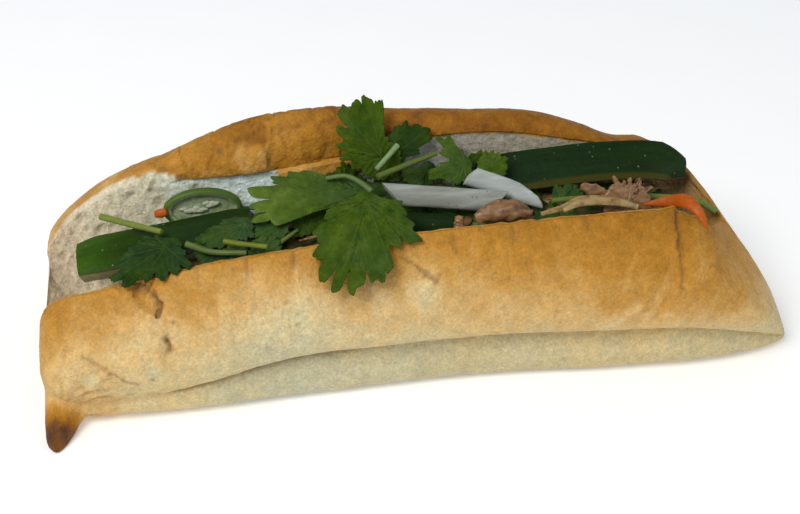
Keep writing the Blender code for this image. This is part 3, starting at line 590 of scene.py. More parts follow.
# Where the crease over the foot is a thin crack, and over what length it fades at both ends. It is painted
# darker, as a line of painted shade.
CREASE_CRACK = (-86.0, -8.0)
CREASE_CRACK_FADES = (8.0, 20.0)
CREASE_CRACK_HALF = 0.55
# The line left of which the front crust is browner.
BROWNER_LEFT_OF = -64.4
# Pits: x, z and radius. They are painted darker, as painted shade in them.
PITS = ((-81.3, 32.0, 0.7), (-79.2, 37.1, 0.6), (-87.1, 19.9, 0.6), (-43.5, 40.4, 0.5), (-40.2, 34.4, 0.5))
# Where the front crust is paler, partly its own paler crust and partly a painted highlight: x, z, half of its
# size each way, and how much.
PALE_PATCHES = (
    (1.0, 40.0, 4.5, 6.0, 0.16), (-40.0, 40.0, 4.5, 5.0, 0.14), (-87.0, 35.0, 9.0, 4.5, 0.14),
    (-86.0, 22.5, 3.0, 2.0, 0.14), (-107.0, 21.0, 3.0, 2.5, 0.14), (92.0, 45.0, 3.0, 6.0, 0.1),
    (-55.0, 47.0, 1.6, 1.0, 0.14), (26.0, 33.0, 12.0, 5.0, 0.05),
)
# Pale ridges of the front crust, partly paler crust and partly a painted highlight where they catch the
# light: x and z of both ends, half width, height and how pale.
PALE_RIDGES = (
    (60.5, 22.6, 69.8, 31.2, 2.0, 0.25, 0.13), (69.7, 46.7, 67.0, 42.0, 0.8, 0.12, 0.07),
    (67.0, 42.0, 65.4, 36.9, 0.8, 0.12, 0.07), (79.6, 40.0, 74.6, 28.0, 1.6, 0.25, 0.06),
    (-39.6, 48.8, -38.8, 44.0, 0.8, 0.1, 0.12),
)
# Patches of the back crust that are browner or paler: x from and to, z from and to, and how much.
BACK_PATCHES = (
    (-64.0, -45.0, 67.5, 84.0, 0.06), (-44.0, -24.0, 61.0, 84.0, -0.07), (-55.0, -44.5, 58.0, 67.5, -0.17),
    (-24.0, -8.0, 59.0, 70.0, -0.08), (-102.0, -93.0, 48.0, 55.0, -0.12),
)


def loaf_marks(points, front, back):
    """Cracks, chips, pits and ridges of the crust: how deep, how much painted shade in cracks and in pits,
    and how pale each point is.
    """
    x, y, z = np.moveaxis(points, -1, 0)
    wobble = 0.7 * noise(points, 3.0, 81, 2) + 0.5 * noise(points, 1.2, 83, 2)
    depth, bare, pit, pale = (np.zeros(x.shape) for _ in range(4))
    for crack in CRACKS:
        here = front * line_mark(x + wobble, z + wobble, crack, crack[5])
        depth += crack[4] * here
        bare = np.maximum(bare, here * min(1.0, 1.1 * crack[4]))
    upper = back * smooth((38 - y) / 4)
    for tear in BACK_TEARS:
        here = upper * line_mark(x + 1.4 * wobble, z + 1.4 * wobble, tear, tear[5])
        depth += 0.5 * tear[4] * here
        pit = np.maximum(pit, 0.4 * tear[4] * here)
    chip_x, chip_z, longer, radius = CHIP
    chip = front * smooth((radius - np.hypot((x - chip_x) / longer, z - chip_z) + 1.2 * wobble) / 0.9)
    depth += 0.7 * chip
    bare = np.maximum(bare, 0.55 * chip)
    crease = z - along(x[:, 0], CREASE_Z)[:, None] + 0.5 * wobble
    here = front * np.exp(-((crease / CREASE_CRACK_HALF) ** 2))
    here = here * smooth((x - CREASE_CRACK[0]) / CREASE_CRACK_FADES[0])
    here = here * smooth((CREASE_CRACK[1] - x) / CREASE_CRACK_FADES[1])
    depth += 0.45 * here
    bare = np.maximum(bare, 0.7 * here)
    for pit_x, pit_z, radius in PITS:
        here = front * np.exp(-(((x - pit_x) ** 2 + (z - pit_z) ** 2) / radius**2))
        depth += 0.5 * here
        pit = np.maximum(pit, 0.6 * here)
    for ridge in PALE_RIDGES:
        here = front * line_mark(x + 1.5 * wobble, z, ridge, ridge[4])
        depth -= ridge[5] * here
        pale = np.maximum(pale, ridge[6] * here)
    for at_x, at_z, half_x, half_z, amount in PALE_PATCHES:
        away = ((x + 4 * wobble - at_x) / half_x) ** 2 + ((z + 3 * wobble - at_z) / half_z) ** 2
        pale = np.maximum(pale, front * amount * np.exp(-away))
    return depth, bare, pit, pale


# How brown the front crust is from the foot to the rim, in four places along the loaf.
HEIGHTS = (-0.5, -0.05, 0.1, 0.35, 0.62, 0.85, 1.0)
TONE_PLACES = (-105, -52, 5, 80)
FRONT_TONES = (
    (0.38, 0.38, 0.36, 0.36, 0.42, 0.55, 0.60), (0.06, 0.11, 0.15, 0.21, 0.31, 0.50, 0.60),
    (0.06, 0.12, 0.22, 0.36, 0.48, 0.62, 0.70), (0.12, 0.20, 0.34, 0.52, 0.62, 0.72, 0.78),
)


def front_tone(x, z, rim_z, crease_z, points, pale):
    """How brown the front crust is, from 0 for pale straw to 1 for near black, and how warm its hue is."""
    height = np.clip((z - crease_z) / np.maximum(rim_z - crease_z, 1), -0.6, 1.2)
    tone = np.zeros(x.shape)
    for share, tones in zip(np.eye(len(TONE_PLACES)), FRONT_TONES):
        tone += np.interp(x, TONE_PLACES, share) * np.interp(height, HEIGHTS, tones)
    tone += 0.08 * noise(points, 15.0, 101, 3, (0.7, 0.5, 0.5)) + 0.06 * noise(points, 4.5, 103, 3)
    tone += 0.1 * smooth((-110 - x) / 9)
    thin = smooth(noise(points, 13.0, 111, 3, (1.0, 0.6, 0.55)) * 2.2 - 0.25)
    # The pale marks make the crust paler: partly its own paler crust, partly a painted highlight.
    tone -= thin * 0.1 * (1 - smooth((x + 20) / 60)) * smooth((0.95 - height) / 0.3) + pale
    step = smooth((BROWNER_LEFT_OF - x + 0.8 * noise(points, 4.0, 117, 2)) / 0.9) * smooth((x + 84) / 14)
    tone += 0.07 * step * smooth((z - 26) / 6) * smooth((46 - z) / 4)
    straw = np.exp(-(((x + 38) / 34) ** 2)) * smooth((0.8 - height) / 0.4)
    return tone, 0.62 - 0.55 * straw + 0.2 * noise(points, 18.0, 119, 2)


# How brown the back crust is along the loaf, and how much paler it is below its top.
BACK_TONES = ((-120, -90, -45, 20, 70, 110), (0.54, 0.60, 0.76, 0.85, 0.81, 0.70))
BACK_PALER = ((0, 0.25, 0.6, 0.9, 1.0), (-0.42, -0.3, -0.1, 0.0, 0.0))


def back_tone(x, y, z, crown_z, points, from_cut, crack):
    """How brown the back crust is."""
    tone = np.interp(x, *BACK_TONES) + np.interp(np.clip(z / crown_z, 0, 1), *BACK_PALER)
    tone += 0.07 * noise(points, 14.0, 151, 3) + 0.05 * noise(points, 4.0, 159, 3)
    warped_x = x + 1.6 * noise(points, 5.0, 153, 2)
    warped_z = z + 1.6 * noise(points, 5.0, 157, 2)
    for x0, x1, z0, z1, amount in BACK_PATCHES:
        inside = inside_box(warped_x, warped_z, x0, x1, z0, z1)
        tone += amount * smooth(inside / 2.0 + 0.5) * smooth((34 - y) / 6)
    near_lip = np.exp(-np.maximum(-from_cut, 0) / 2.2)
    # The cracks between the plates are painted a little browner, as painted shade.
    return tone - 0.16 * near_lip * (1 - smooth((x + 60) / 60)) + 0.06 * crack


def left_end(ring, starts, first, keys):
    """Rows of points between the outer and the inner side of the U-shaped left end, with their faces."""
    around = len(ring)
    outer = [i % around for i in range(starts["rim"] + around, starts["back"], -1)] + [starts["back"]]
    inner = list(range(starts["rim"], starts["back"] + 1))
    t = np.linspace(0, 1, len(inner))
    outer_at = np.stack([np.interp(t, np.linspace(0, 1, len(outer)), column) for column in ring[outer].T], 1)
    last, points, faces, values = outer, [], [], {key: [] for key in keys}
    for row in range(1, END_ROWS):
        share = row / END_ROWS
        swell = np.sin(math.pi * share) * np.sin(math.pi * t) ** 0.5
        line = outer_at + (ring[inner] - outer_at) * share
        line[:, 0] -= 0.5 * swell * (1 + noise(line, 5.0, 181, 3))
        here = {
            "tone": 0.58 + 0.1 * noise(line, 6.0, 201, 2), "warm": np.full(len(line), PLAIN_WARMTH),
            "crumb": smooth((share - 0.72 + 0.15 * noise(line, 4.0, 191, 2)) / 0.12),
        }
        for key in keys:
            values[key] += list(here.get(key, np.zeros(len(line)))[1:-1])
        numbers = [inner[0], *range(first + len(points), first + len(points) + len(line) - 2), inner[-1]]
        points += list(line[1:-1])
        faces += bridge(last, numbers)
        last = numbers
    return points, faces + bridge(last, inner), values


def loaf_tones(rings, start_rings, xs, is_slot, front, back, from_cut, marks):
    """How brown and how warm the crust is. The marks say where it is pale and where it is cracked."""
    x, y, z = np.moveaxis(start_rings, -1, 0)
    pale, crack = marks
    rim_z, crease_z, crown_z = (along(xs, knots)[:, None] for knots in (RIM_Z, CREASE_Z, CROWN_Z))
    tone_front, warm = front_tone(x, z, rim_z, crease_z, rings, pale)
    tone_back = back_tone(x, y, z, crown_z, rings, from_cut, crack)
    tone_base = 0.4 + 0.08 * noise(rings, 9.0, 161, 3)
    tone = np.where(front > 0, tone_front, np.where(back > 0, tone_back, tone_base))
    tone = np.where(np.broadcast_to(is_slot, tone.shape), 0.56 + 0.16 * noise(rings, 5.0, 163, 3), tone)
    nub = np.clip(1 - np.linalg.norm(rings - np.array(NUB_TIP), axis=-1) / NUB_BROWN, 0, 1)
    streaks = noise(rings, 2.2, 167, 3, (1.0, 0.3, 0.3))
    burnt = smooth(nub * 1.9 - 0.15 + 0.2 * streaks)
    tone = np.clip(tone + (0.93 + 0.05 * streaks - tone) * burnt, 0, 1)
    return tone, np.where(front > 0, warm, PLAIN_WARMTH)


def loaf():
    """The whole bread: crust, rims, crumb and base, with the pores and cracks as geometry."""
    xs = loaf_stations()
    sections = np.array([loaf_section(x) for x in xs])
    count, around = sections.shape[:2]
    rings = np.concatenate([np.broadcast_to(xs[:, None, None], (count, around, 1)), sections], -1)
    rings = pull_nub(cut_notch(raise_relief(rings)))
    starts = dict(zip(STEPS, np.cumsum([0] + list(STEPS.values()))))
    j = np.arange(around)
    slot_from = starts["rim"] + RIM_CRUST_STEPS
    is_base = (j >= starts["base"]).astype(float)
    is_slot = (j > slot_from) & (j < starts["lip"])
    front = np.broadcast_to((j <= slot_from).astype(float), (count, around))
    back = np.broadcast_to(((j >= starts["lip"]) & (j < starts["base"])).astype(float), (count, around))
    start_rings = rings
    x = rings[..., 0]

    # How far each point is inside the opening, along the section.
    walked = np.cumsum(np.linalg.norm(rings - np.roll(rings, 1, axis=1), axis=-1), axis=1)
    from_rim = walked - walked[:, [starts["slot_front"]]]
    from_cut = walked[:, [starts["lip"]]] - walked
    # A flap of crust hangs over the cut in the middle, and crumb shows past the edge at both ends.
    flap = FLAP_DROP * smooth((x - FLAP[0]) / FLAP_FADES[0]) * smooth((FLAP[1] - x) / FLAP_FADES[1])
    flap = flap * (1 + 0.35 * noise(rings, 6.0, 123, 2))
    past = PAST_RIGHT * smooth((x - 84) / 6) * smooth((114 - x) / 6)
    past = past + (PAST_TIP + (PAST_LEFT - PAST_TIP) * smooth((x + 121) / 8)) * smooth((-68 - x) / 16)
    inside = np.minimum(from_rim, from_cut - flap + past)
    is_open = openness(xs)[:, None]
    ragged = 0.9 * noise(rings, 3.4, 121, 3)
    may_be_crumb = np.where(is_slot, 1.0, 0.12 + 0.88 * smooth(past / 4))
    crumb = smooth((inside + ragged - 0.2) / 0.7) * may_be_crumb * is_open

    pores, pore = crumb_relief(rings, 1 - smooth((x + 70) / 30))
    fine, crack = crust_fine(rings, front, back)
    marks, bare, pit, pale = loaf_marks(rings, front, back)
    relief = (1 - crumb) * (fine - marks) + crumb * pores
    # The two rims are torn a little unevenly.
    rim_near = np.exp(-(((from_rim + 1.0) / 1.8) ** 2)) * is_open
    chipped = smooth(2.4 * noise(rings, 3.6, 135, 2, (1, 0.3, 0.3)) - 0.9)
    rough = 0.45 * noise(rings, 4.5, 131, 3, (1, 0.2, 0.2)) + 0.25 * noise(rings, 1.5, 133, 2)
    relief += rim_near * (rough - 0.9 * chipped)
    lip_near = np.exp(-(((from_cut + 0.6) / 1.6) ** 2)) * is_open
    rough = 0.5 * noise(rings, 5.5, 141, 3, (1, 0.2, 0.2)) + 0.25 * noise(rings, 1.5, 143, 2)
    relief += lip_near * rough
    hanging = FLAP_THICKNESS * is_slot * smooth(from_cut / 1.2)
    relief += hanging * smooth((flap - from_cut) / 0.5) * smooth(flap)
    relief *= 1 - 0.8 * is_base[None]
    relief *= smooth((RIGHT_END - x) / 4)
    rings = rings + grid_normals(rings) * relief[..., None]
    rings[..., 2] = np.maximum(rings[..., 2], 0)

    tone, warm = loaf_tones(rings, start_rings, xs, is_slot, front, back, from_cut, (pale, crack))
    along_x = np.clip((x + 7.0 * noise(rings, 7.0, 171, 3) - CRUMB_FROM) / (CRUMB_TO - CRUMB_FROM), 0, 1)
    # The pore value paints shade into the crumb's pores and into the cracks between the back crust's plates.
    values = {
        "tone": tone, "warm": warm, "crumb": crumb, "bare": bare * (1 - crumb), "pit": pit, "along": along_x,
        "pore": np.maximum(pore * crumb, 0.7 * crack * (1 - crumb)),
    }
    points = rings.reshape(-1, 3)
    faces = ring_faces(count, around)
    faces.append(tuple(range((count - 1) * around, count * around)))
    end_points, end_faces, end_values = left_end(rings[0], starts, len(points), values)
    for key, value in values.items():
        values[key] = np.concatenate([np.broadcast_to(value, (count, around)).ravel(), end_values[key]])
    return np.concatenate([points, np.array(end_points)]), faces + end_faces, values


# The filling's forms, as the solids have them.

# Cucumbers: the middle line, half of the width, the thickness, the way up, and the share of the width at
# both ends.
CUCUMBERS = {
    "cucumber_left": (
        ((-109.3, -4.0, 42.0), (-104, -4.0, 43.4), (-96, -4.0, 44.6), (-73, -4.0, 48.0), (-52, -4.0, 51.2)),
        8.2, 5.6, (-0.12, -0.2, 0.97), (0.86, 0.9),
    ),
    "cucumber_right": (
        ((25, 8.2, 54.6), (48, 8.0, 56.6), (69, 7.6, 57.8), (88, 7.2, 56.6), (93, 7.2, 55.4),
         (98, 7.0, 53.0)),
        7.2, 3.4, (0, -0.58, 0.82), (0.9, 0.5),
    ),
    "cucumber_low": (
        ((-9, -8.6, 51.9), (2, -9.6, 50.0), (14, -10.6, 48.8)),
        3.4, 2.2, (0, -0.75, 0.66), (0.9, 0.9),
    ),
}
CUCUMBER_BULGE = 1.3
# How finely the pieces are made: rows of points along them, and sides and squareness of their sections.
CUCUMBER_ROWS = 110
DAIKON_ROWS, DAIKON_BOX = 70, (36, 2.4)
CARROT_ROWS, CARROT_BOX = 60, (28, 2.8)
SHRED_ROWS, SHRED_BOX = 60, (20, 3)
STALK_ROWS, STALK_SIDES = 48, 16
CHICKEN_ROWS, CHICKEN_SIDES = 64, 44
BITS_ROWS = 14
CUCUMBER_CAPS = (0.3, 0.7, 0.92, 0.985)
# How far below the middle line the skin is painted dark olive, as painted shade under the strip's front edge,
# and from which x.
OLIVE_BELOW = 2.0
OLIVE_FROM = 25.0
# How bright the cucumber's skin is along the loaf.
SKIN_AT = (-108, -92, -70, -40, 20, 95)
SKIN_BRIGHT = (1.0, 0.55, 0.2, 0.3, 0.0, 0.15)
# The way from the filling to the viewer's side of the loaf and up.
FRONT_AND_UP = (-0.114, -0.811, 0.574)
# The sizes of the rings of points that close an end, as shares of the last ring.
END_CAPS = (0.25, 0.6, 0.86)
# Daikon sticks: the middle line, half of the size each way, and how far the ends slant.
DAIKONS = {
    "daikon_front": (((-5.6, -4.6, 58.4), (11.3, -5.2, 56.1), (29.5, -6.8, 53.9)), (3.6, 2.3), -3.5),
    "daikon_back": (((21.8, 1.6, 59.2), (33.2, -0.6, 55.2), (44.5, -4.4, 50.8)), (3.4, 2.2), 1.6),
}
# How light each stick is painted: the front one lies in shade and is painted darker, as painted shade.
DAIKON_BRIGHT = {"daikon_front": 0.36, "daikon_back": 0.72}
DAIKON_CAPS = (0.25, 0.6, 0.85, 0.97)
# The thin end of the daikon stick at the back, as shares of its size each way.
DAIKON_THIN = (0.5, 0.6)
# Carrots: the middle line, and half of the size each way along it.
CARROTS = {
    "carrot_right": (
        ((78.0, -13.6, 52.8), (85.6, -17.3, 55.6), (89.6, -23.8, 58.7), (91.3, -27.3, 57.8),
         (92.8, -30.4, 55.4), (93.2, -31.8, 53.8)),
        ((0.4, 0.5), (1.6, 1.1), (2.3, 1.2), (2.2, 1.1), (1.5, 0.9), (0.4, 0.4)),
    ),
    "carrot_left": (
        ((-83.2, 7.5, 49.9), (-81.8, 7.0, 50.4), (-79.6, 6.7, 50.9)),
        ((1.2, 1.0), (1.5, 1.2), (1.2, 1.0)),
    ),
}
# Stalks: the middle line, the radius at its start and its end, how light and how yellow each is.
STEMS = {
    "stem_yellow": (((-101.3, 8.0, 50.2), (-91.7, 1.3, 50.8), (-81.2, -5.8, 51.4)), 1.1, 1.0, 0.75, 0.8),
    "stem_left": (((-73.5, -13.2, 51.0), (-66.2, -16.0, 49.3), (-54.5, -19.0, 49.7)), 1.1, 0.8, 0.35, 0.5),
    "stem_brown": (((-61.4, -15.3, 52.3), (-55.7, -17.0, 51.9), (-47.8, -20.7, 52.6)), 0.9, 0.8, 0.5, 1.6),
    "stem_small": (((-43.5, -16.2, 50.6), (-41.0, -13.5, 50.6), (-37.4, -9.8, 50.6)), 0.7, 0.6, 0.6, 0.6),
    "stem_middle": (
        ((-9.5, 0.6, 62.4), (-1.5, 5.0, 62.6), (5.7, 7.6, 63.6), (11.5, 9.4, 64.4)), 1.1, 0.8, 0.35, 0.6,
    ),
    "stem_light": (((-1.5, 11.0, 67.6), (-9.6, 3.4, 63.6)), 1.0, 0.8, 1.0, 0.1),
    "stem_right": (
        ((49, -3.4, 50.2), (61, -3.2, 50.2), (75, -3.4, 49.6), (88, -4.2, 48.7), (95, -5.2, 47.9),
         (100.6, -6.2, 46.6), (105.6, -7.4, 43.6)),
        1.0, 1.2, 0.6, 0.7,
    ),
    "stem_curled": (
        ((-26.5, 2.0, 62.4), (-19.7, 1.0, 63.2), (-15.8, -2.4, 62.6), (-12.4, -6.4, 61.2)),
        0.7, 1.0, 0.4, 0.3,
    ),
}
# Thin shreds of meat: the middle line.
SHREDS = {
    "shred_high": (
        (42, -17.0, 54.4), (49.5, -16.0, 55.6), (56, -13.5, 56.4), (62, -12.4, 55.4), (70, -13.4, 54.0),
        (75, -16.0, 53.4),
    ),
    "shred_low": ((48.6, -20.0, 57.2), (54.5, -17.6, 57.8), (62, -16.4, 57.2), (70.5, -18.0, 56.4)),
}
SHRED_SIZES = ((0.7, 0.4), (1.3, 0.4), (1.3, 0.4), (1.0, 0.3))
# Lumps of meat: the middle line, and the radius along it.
CHICKEN = {
    "chicken_left": (
        ((20.6, -15.6, 53.6), (24, -15.2, 54.6), (29, -14.6, 55.2), (34, -14.8, 55.2), (38.6, -16.2, 53.8)),
        (1.6, 3.2, 3.7, 3.3, 1.5),
    ),
    "chicken_middle": (
        ((58.2, -6.2, 57.2), (61.0, -6.8, 55.8), (64.6, -7.6, 54.2), (68.0, -8.6, 53.2)),
        (1.0, 2.2, 2.0, 0.9),
    ),
    "chicken_stick": (((14.9, -17.0, 51.6), (15.1, -15.0, 54.6)), (1.7, 1.6)),
}
# How flat the lumps are, and how many dents each has along and around.
CHICKEN_FLATNESS = 0.85
LUMP_TURN = 9.0
# The chilli: its middle, its radius along and across, its wall, and how far it leans back in degrees.
CHILLI_MIDDLE = (-67.6, 9.4, 49.6)
CHILLI_RADIUS = (11.8, 6.2)
CHILLI_WALL = 2.6
CHILLI_LEAN = 26.0
CHILLI_ROWS = 84
CHILLI_SIDES = 26
# The pale flesh inside the ring: its points around, its rings of points, and half of its thickness.
FLESH_SIDES = 72
FLESH_ROWS = 14
FLESH_HALF = 0.35
# The skin value that gives the pale flesh.
CHILLI_PALE = -0.2
CHILLI_SEEDS = 11
SEED_SIDES = 14

# Leaves: where the stalk meets the leaf, the way of its middle vein, the way its face looks, how far the
# tips bend down, how wavy it is, and its lobes as (angle from the middle vein, length, half width).
LEAVES = {
    "leaf_top": (
        (-7.1, 9.6, 64.4), (-0.18, 0.44, 0.88), (0.0, -0.89, 0.45), 0.5, 0.7,
        ((-26, 7, 14), (-11, 19, 8.5), (0, 20.8, 9.5), (13, 21.2, 10.5), (27, 21.3, 10.5), (43, 17.6, 10),
         (60, 15, 11), (75, 14, 9), (92, 11, 12)),
    ),
    "leaf_top_right": (
        (-4.0, 10.4, 63.6), (0.48, 0.57, 0.66), (0.0, -0.76, 0.65), 0.4, 0.6,
        ((24, 8, 14), (10, 11.4, 12), (-3, 13.4, 11), (-17, 15, 10), (-28, 17, 8.5), (-39, 15.7, 8),
         (-52, 10.2, 13), (-75, 5, 24), (-125, 3.2, 50)),
    ),
    "leaf_right": (
        (20.7, 7.5, 60.4), (-0.41, 0.65, 0.65), (0.0, -0.71, 0.71), 0.4, 0.6,
        ((-60, 2.8, 45), (-16, 5.5, 18), (2, 11.4, 11), (14, 13, 8.5), (29, 9.5, 11), (46, 5.5, 14),
         (62, 8.5, 11), (73, 12.2, 8), (83, 13.4, 9), (103, 9, 15), (128, 7.6, 18), (155, 6.3, 20),
         (-175, 4.3, 25), (-120, 2.8, 45)),
    ),
    "leaf_fringe": (
        (29.6, 3.5, 61.2), (0.06, 0.71, 0.71), (0.0, -0.71, 0.71), 0.2, 0.3,
        ((-58, 6.2, 14), (-28, 5.6, 13), (0, 5.8, 13), (27, 6.6, 13)),
    ),
    "leaf_middle": (
        (-15.1, -2.0, 58.6), (-1.0, -0.07, 0.02), (0.05, -0.45, 0.89), 1.5, 0.9,
        ((-75, 5, 25), (-45, 9, 12), (-30, 21, 7.5), (-23, 25.5, 6.5), (-16.5, 31.2, 5.5), (-7, 36.4, 6.5),
         (2.5, 37.6, 6), (9.5, 36.3, 4.5), (15, 32, 5), (24, 13, 9), (40, 8, 14), (70, 5, 25)),
    ),
    "leaf_large": (
        (-14.8, -12.8, 62.2), (-0.34, -0.84, -0.42), (0.0, -0.45, 0.89), 2.0, 0.9,
        ((-110, 4, 35), (-66, 9, 16), (-52, 14.8, 13), (-37, 21.3, 12), (-23, 26.5, 10), (-14, 31.3, 8),
         (-3.5, 34.2, 5.5), (4.5, 33.2, 5), (10, 30.6, 4.5), (20, 30.2, 8.5), (30, 26.2, 7), (45, 19, 11),
         (61, 21.7, 12), (72, 18, 11), (85, 13.4, 13), (98, 11.7, 11), (125, 4, 25)),
    ),
    "leaf_small": (
        (-35.3, -8.4, 51.6), (0.42, 0.59, 0.69), (0.0, -0.76, 0.65), 0.3, 0.5,
        ((-125, 4, 30), (-85, 6.3, 20), (-61, 8.9, 14), (-38, 8.5, 14), (-12, 8.3, 16), (14, 6.6, 16),
         (45, 5.8, 20), (85, 4.5, 25), (115, 3.4, 30), (180, 4.2, 35)),
    ),
    "leaf_left": (
        (-80.1, -12.6, 50.2), (-0.89, -0.4, -0.19), (-0.12, -0.2, 0.97), 0.6, 0.6,
        ((-170, 5.2, 26), (-125, 4, 36), (-85, 7, 18), (-63, 9.8, 13), (-50, 10.8, 11), (-36, 12.2, 10),
         (-22, 15, 9.5), (-6, 17, 8), (7.5, 21, 8.5), (20, 19.3, 9.5), (36, 15.2, 12), (57, 13.8, 14),
         (80, 12.7, 14), (101, 13.1, 11), (118, 8, 16), (150, 5.5, 26)),
    ),
    "leaf_left_middle": (
        (-54.3, -8.0, 53.9), (-0.99, 0.08, -0.07), (-0.1, -0.5, 0.86), 0.4, 0.6,
        ((-70, 2.2, 50), (-5, 8, 18), (9, 12, 11), (20, 15.7, 8), (31, 15.2, 9), (42, 12.8, 9),
         (58, 8, 13), (85, 6.5, 18), (113, 6.2, 16), (143, 3.6, 24)),
    ),
    "leaf_folded": (
        (-41.9, -9.2, 53.8), (-0.99, 0.04, -0.1), (-0.1, -0.5, 0.86), 0.3, 0.5,
        ((-40, 3, 30), (5, 10.4, 11), (20, 11, 10), (35, 10.8, 10), (52, 9.2, 12), (75, 7.6, 14),
         (100, 4, 22), (150, 2.5, 40)),
    ),
}
# How light each leaf is at its stalk and at its tips, and how much painted bluish sheen it has at its stalk
# and at its tips.
LEAF_LOOKS = {
    "leaf_top": (0.36, 0.46, 0.0, 0.0), "leaf_top_right": (0.0, 0.16, 0.1, 0.0),
    "leaf_right": (0.42, 0.55, 0.5, 0.1), "leaf_fringe": (0.45, 0.6, 0.1, 0.0),
    "leaf_middle": (0.36, 0.9, 0.7, 0.1), "leaf_large": (0.44, 0.46, 0.3, 0.05),
    "leaf_small": (0.34, 0.44, 0.2, 0.1), "leaf_left": (0.02, 0.12, 0.3, 0.15),
    "leaf_left_middle": (0.16, 0.3, 0.5, 0.4), "leaf_folded": (0.26, 0.34, 0.8, 0.6),
}
# How far a leaf reaches between its lobes at least, and how square, filled and toothed the lobes are.
LEAF_BASE = 1.6
LOBE_SQUARENESS = 5
LEAF_WEB = 0.82
LEAF_TOOTH = 2.1
LEAF_TOOTH_DEPTH = 1.0
LEAF_EDGE_STEP = 0.42
VEIN_SPREAD = 26
VEIN_SPACING = 3.0
LEAF_CRINKLE = 0.5
LEAF_THICKNESS = 0.3
# The torn fan of meat, in the same way as a leaf.
CHICKEN_FAN = (
    (72.8, -11.4, 52.2), (-0.26, 0.5, 0.82), (0.0, -0.82, 0.57), 0.3, 0.4,
    ((6, 10.8, 12), (-12, 8, 14), (-30, 8.8, 13), (-50, 10.0, 13), (-76, 11.0, 14)),
)
CHICKEN_FAN_THICKNESS = 1.4
FAN_LOOK = (0.4, 0.4, 0.2, 0.2)
# The heap under the filling: where it starts and ends, its top along the loaf as (x, z), and the gap
# between it and the walls of the slot.
BED_FROM = -88.0
BED_TO = 92.0
BED_TOP = (
    (-88, 36.0), (-78, 38.6), (-62, 41.5), (-54, 43.0), (-46, 46.5), (-36, 47.5), (-24, 48.5), (-14, 46.5),
    (0, 44.6), (12, 44.2), (24, 46.2), (48, 46.2), (66, 46.2), (84, 45.6), (92, 44.0),
)
BED_GAP = 0.9
BED_STATIONS = 28
BED_ROWS = 190
# Bits on the heap: how many, over which x, where they lie lower and by how much, and their gap to the walls.
BITS = 210
BITS_SPAN = (-100, 88)
BITS_LOW_FROM = 42
BITS_LOW_TO = 96
BITS_LOW_BY = 1.8
BITS_GAP = 0.8
BITS_UP = (0.05, -0.2, 0.97)
# Their looks: the attribute, its lowest value, how far it varies, and the cell that its chance comes from.
BITS_LOOKS = (("light", 0.1, 0.5, 3), ("blue", 0.0, 0.3, 9), ("yellow", 0.0, 0.5, 4), ("vein", 0.0, 0.0, 0))
# The steps of the section that the bed's walls are read from.
BED_SECTION = dict(foot=4, dome=12, rim=1, slot_front=12, slot_back=14, lip=1, back=13, base=4)


def sweep(points, outline, up, sizes, stations, slant=0.0):
    """Rings of the (across, up) outline carried along a smooth line, scaled by the sizes on the way."""
    line = through(points, stations)
    ways = np.gradient(line, axis=0)
    ways /= np.linalg.norm(ways, axis=1)[:, None]
    places = np.linspace(0, 1, stations + 1)
    knots = np.linspace(0, 1, len(sizes))
    across = np.cross(up, ways)
    across /= np.linalg.norm(across, axis=1)[:, None]
    over = np.cross(ways, across)
    wide = np.interp(places, knots, [size[0] for size in sizes])
    high = np.interp(places, knots, [size[1] for size in sizes])
    lean = slant * (1 - 2 * places)
    u, v = np.array(outline).T
    return (
        line[:, None]
        + (u * wide[:, None])[..., None] * across[:, None]
        + (v * high[:, None])[..., None] * over[:, None]
        + (u * lean[:, None])[..., None] * ways[:, None]
    )


def circle(sides):
    """Points round a circle of radius 1."""
    turns = 2 * math.pi * np.arange(sides) / sides
    return np.stack([np.cos(turns), np.sin(turns)], 1)


def rounded_box(sides, squareness):
    """Points round a box with sides of 2 and rounded corners."""
    turns = 2 * math.pi * (np.arange(sides) + 0.5) / sides
    sides = [np.sign(way) * np.abs(way) ** (2 / squareness) for way in (np.cos(turns), np.sin(turns))]
    return np.stack(sides, 1)


def solid(name, rings, finish, slot, relief, values=None, caps=END_CAPS, bulge=0.0):
    """A closed piece in a node's place, over rings of points that are moved out by its relief."""
    rings = rounded_caps(rings, caps, bulge)
    rings = rings + grid_normals(rings) * relief(rings)[..., None]
    size = rings.shape[:2]
    made_values = {}
    for key, value in (values or {}).items():
        made_values[key] = np.broadcast_to(value(rings) if callable(value) else value, size).ravel()
    made = make_object(f"{name}_look", rings.reshape(-1, 3), tube_faces(*size), finish, made_values)
    place(fix_normals(made), slot, name)


def cucumber_outline(thickness, skin=34, side=5, under=14):
    """The (across, up) outline of a strip, and where it is flesh."""
    u = 1 - 2 * np.arange(skin + 1) / skin
    top = np.stack([u, CUCUMBER_BULGE * (1 - u * u)], 1)
    down = through([(-1, 0), (-0.97, -0.35 * thickness), (-0.8, -thickness)], side)[1:]
    below = through([(-0.8, -thickness), (0.8, -thickness)], under)[1:]
    back = through([(0.8, -thickness), (0.97, -0.35 * thickness), (1, 0)], side)[1:-1]
    outline = np.concatenate([top, down, below, back])
    flesh = np.zeros(len(outline))
    flesh[skin + 1 :] = 1
    return outline, flesh


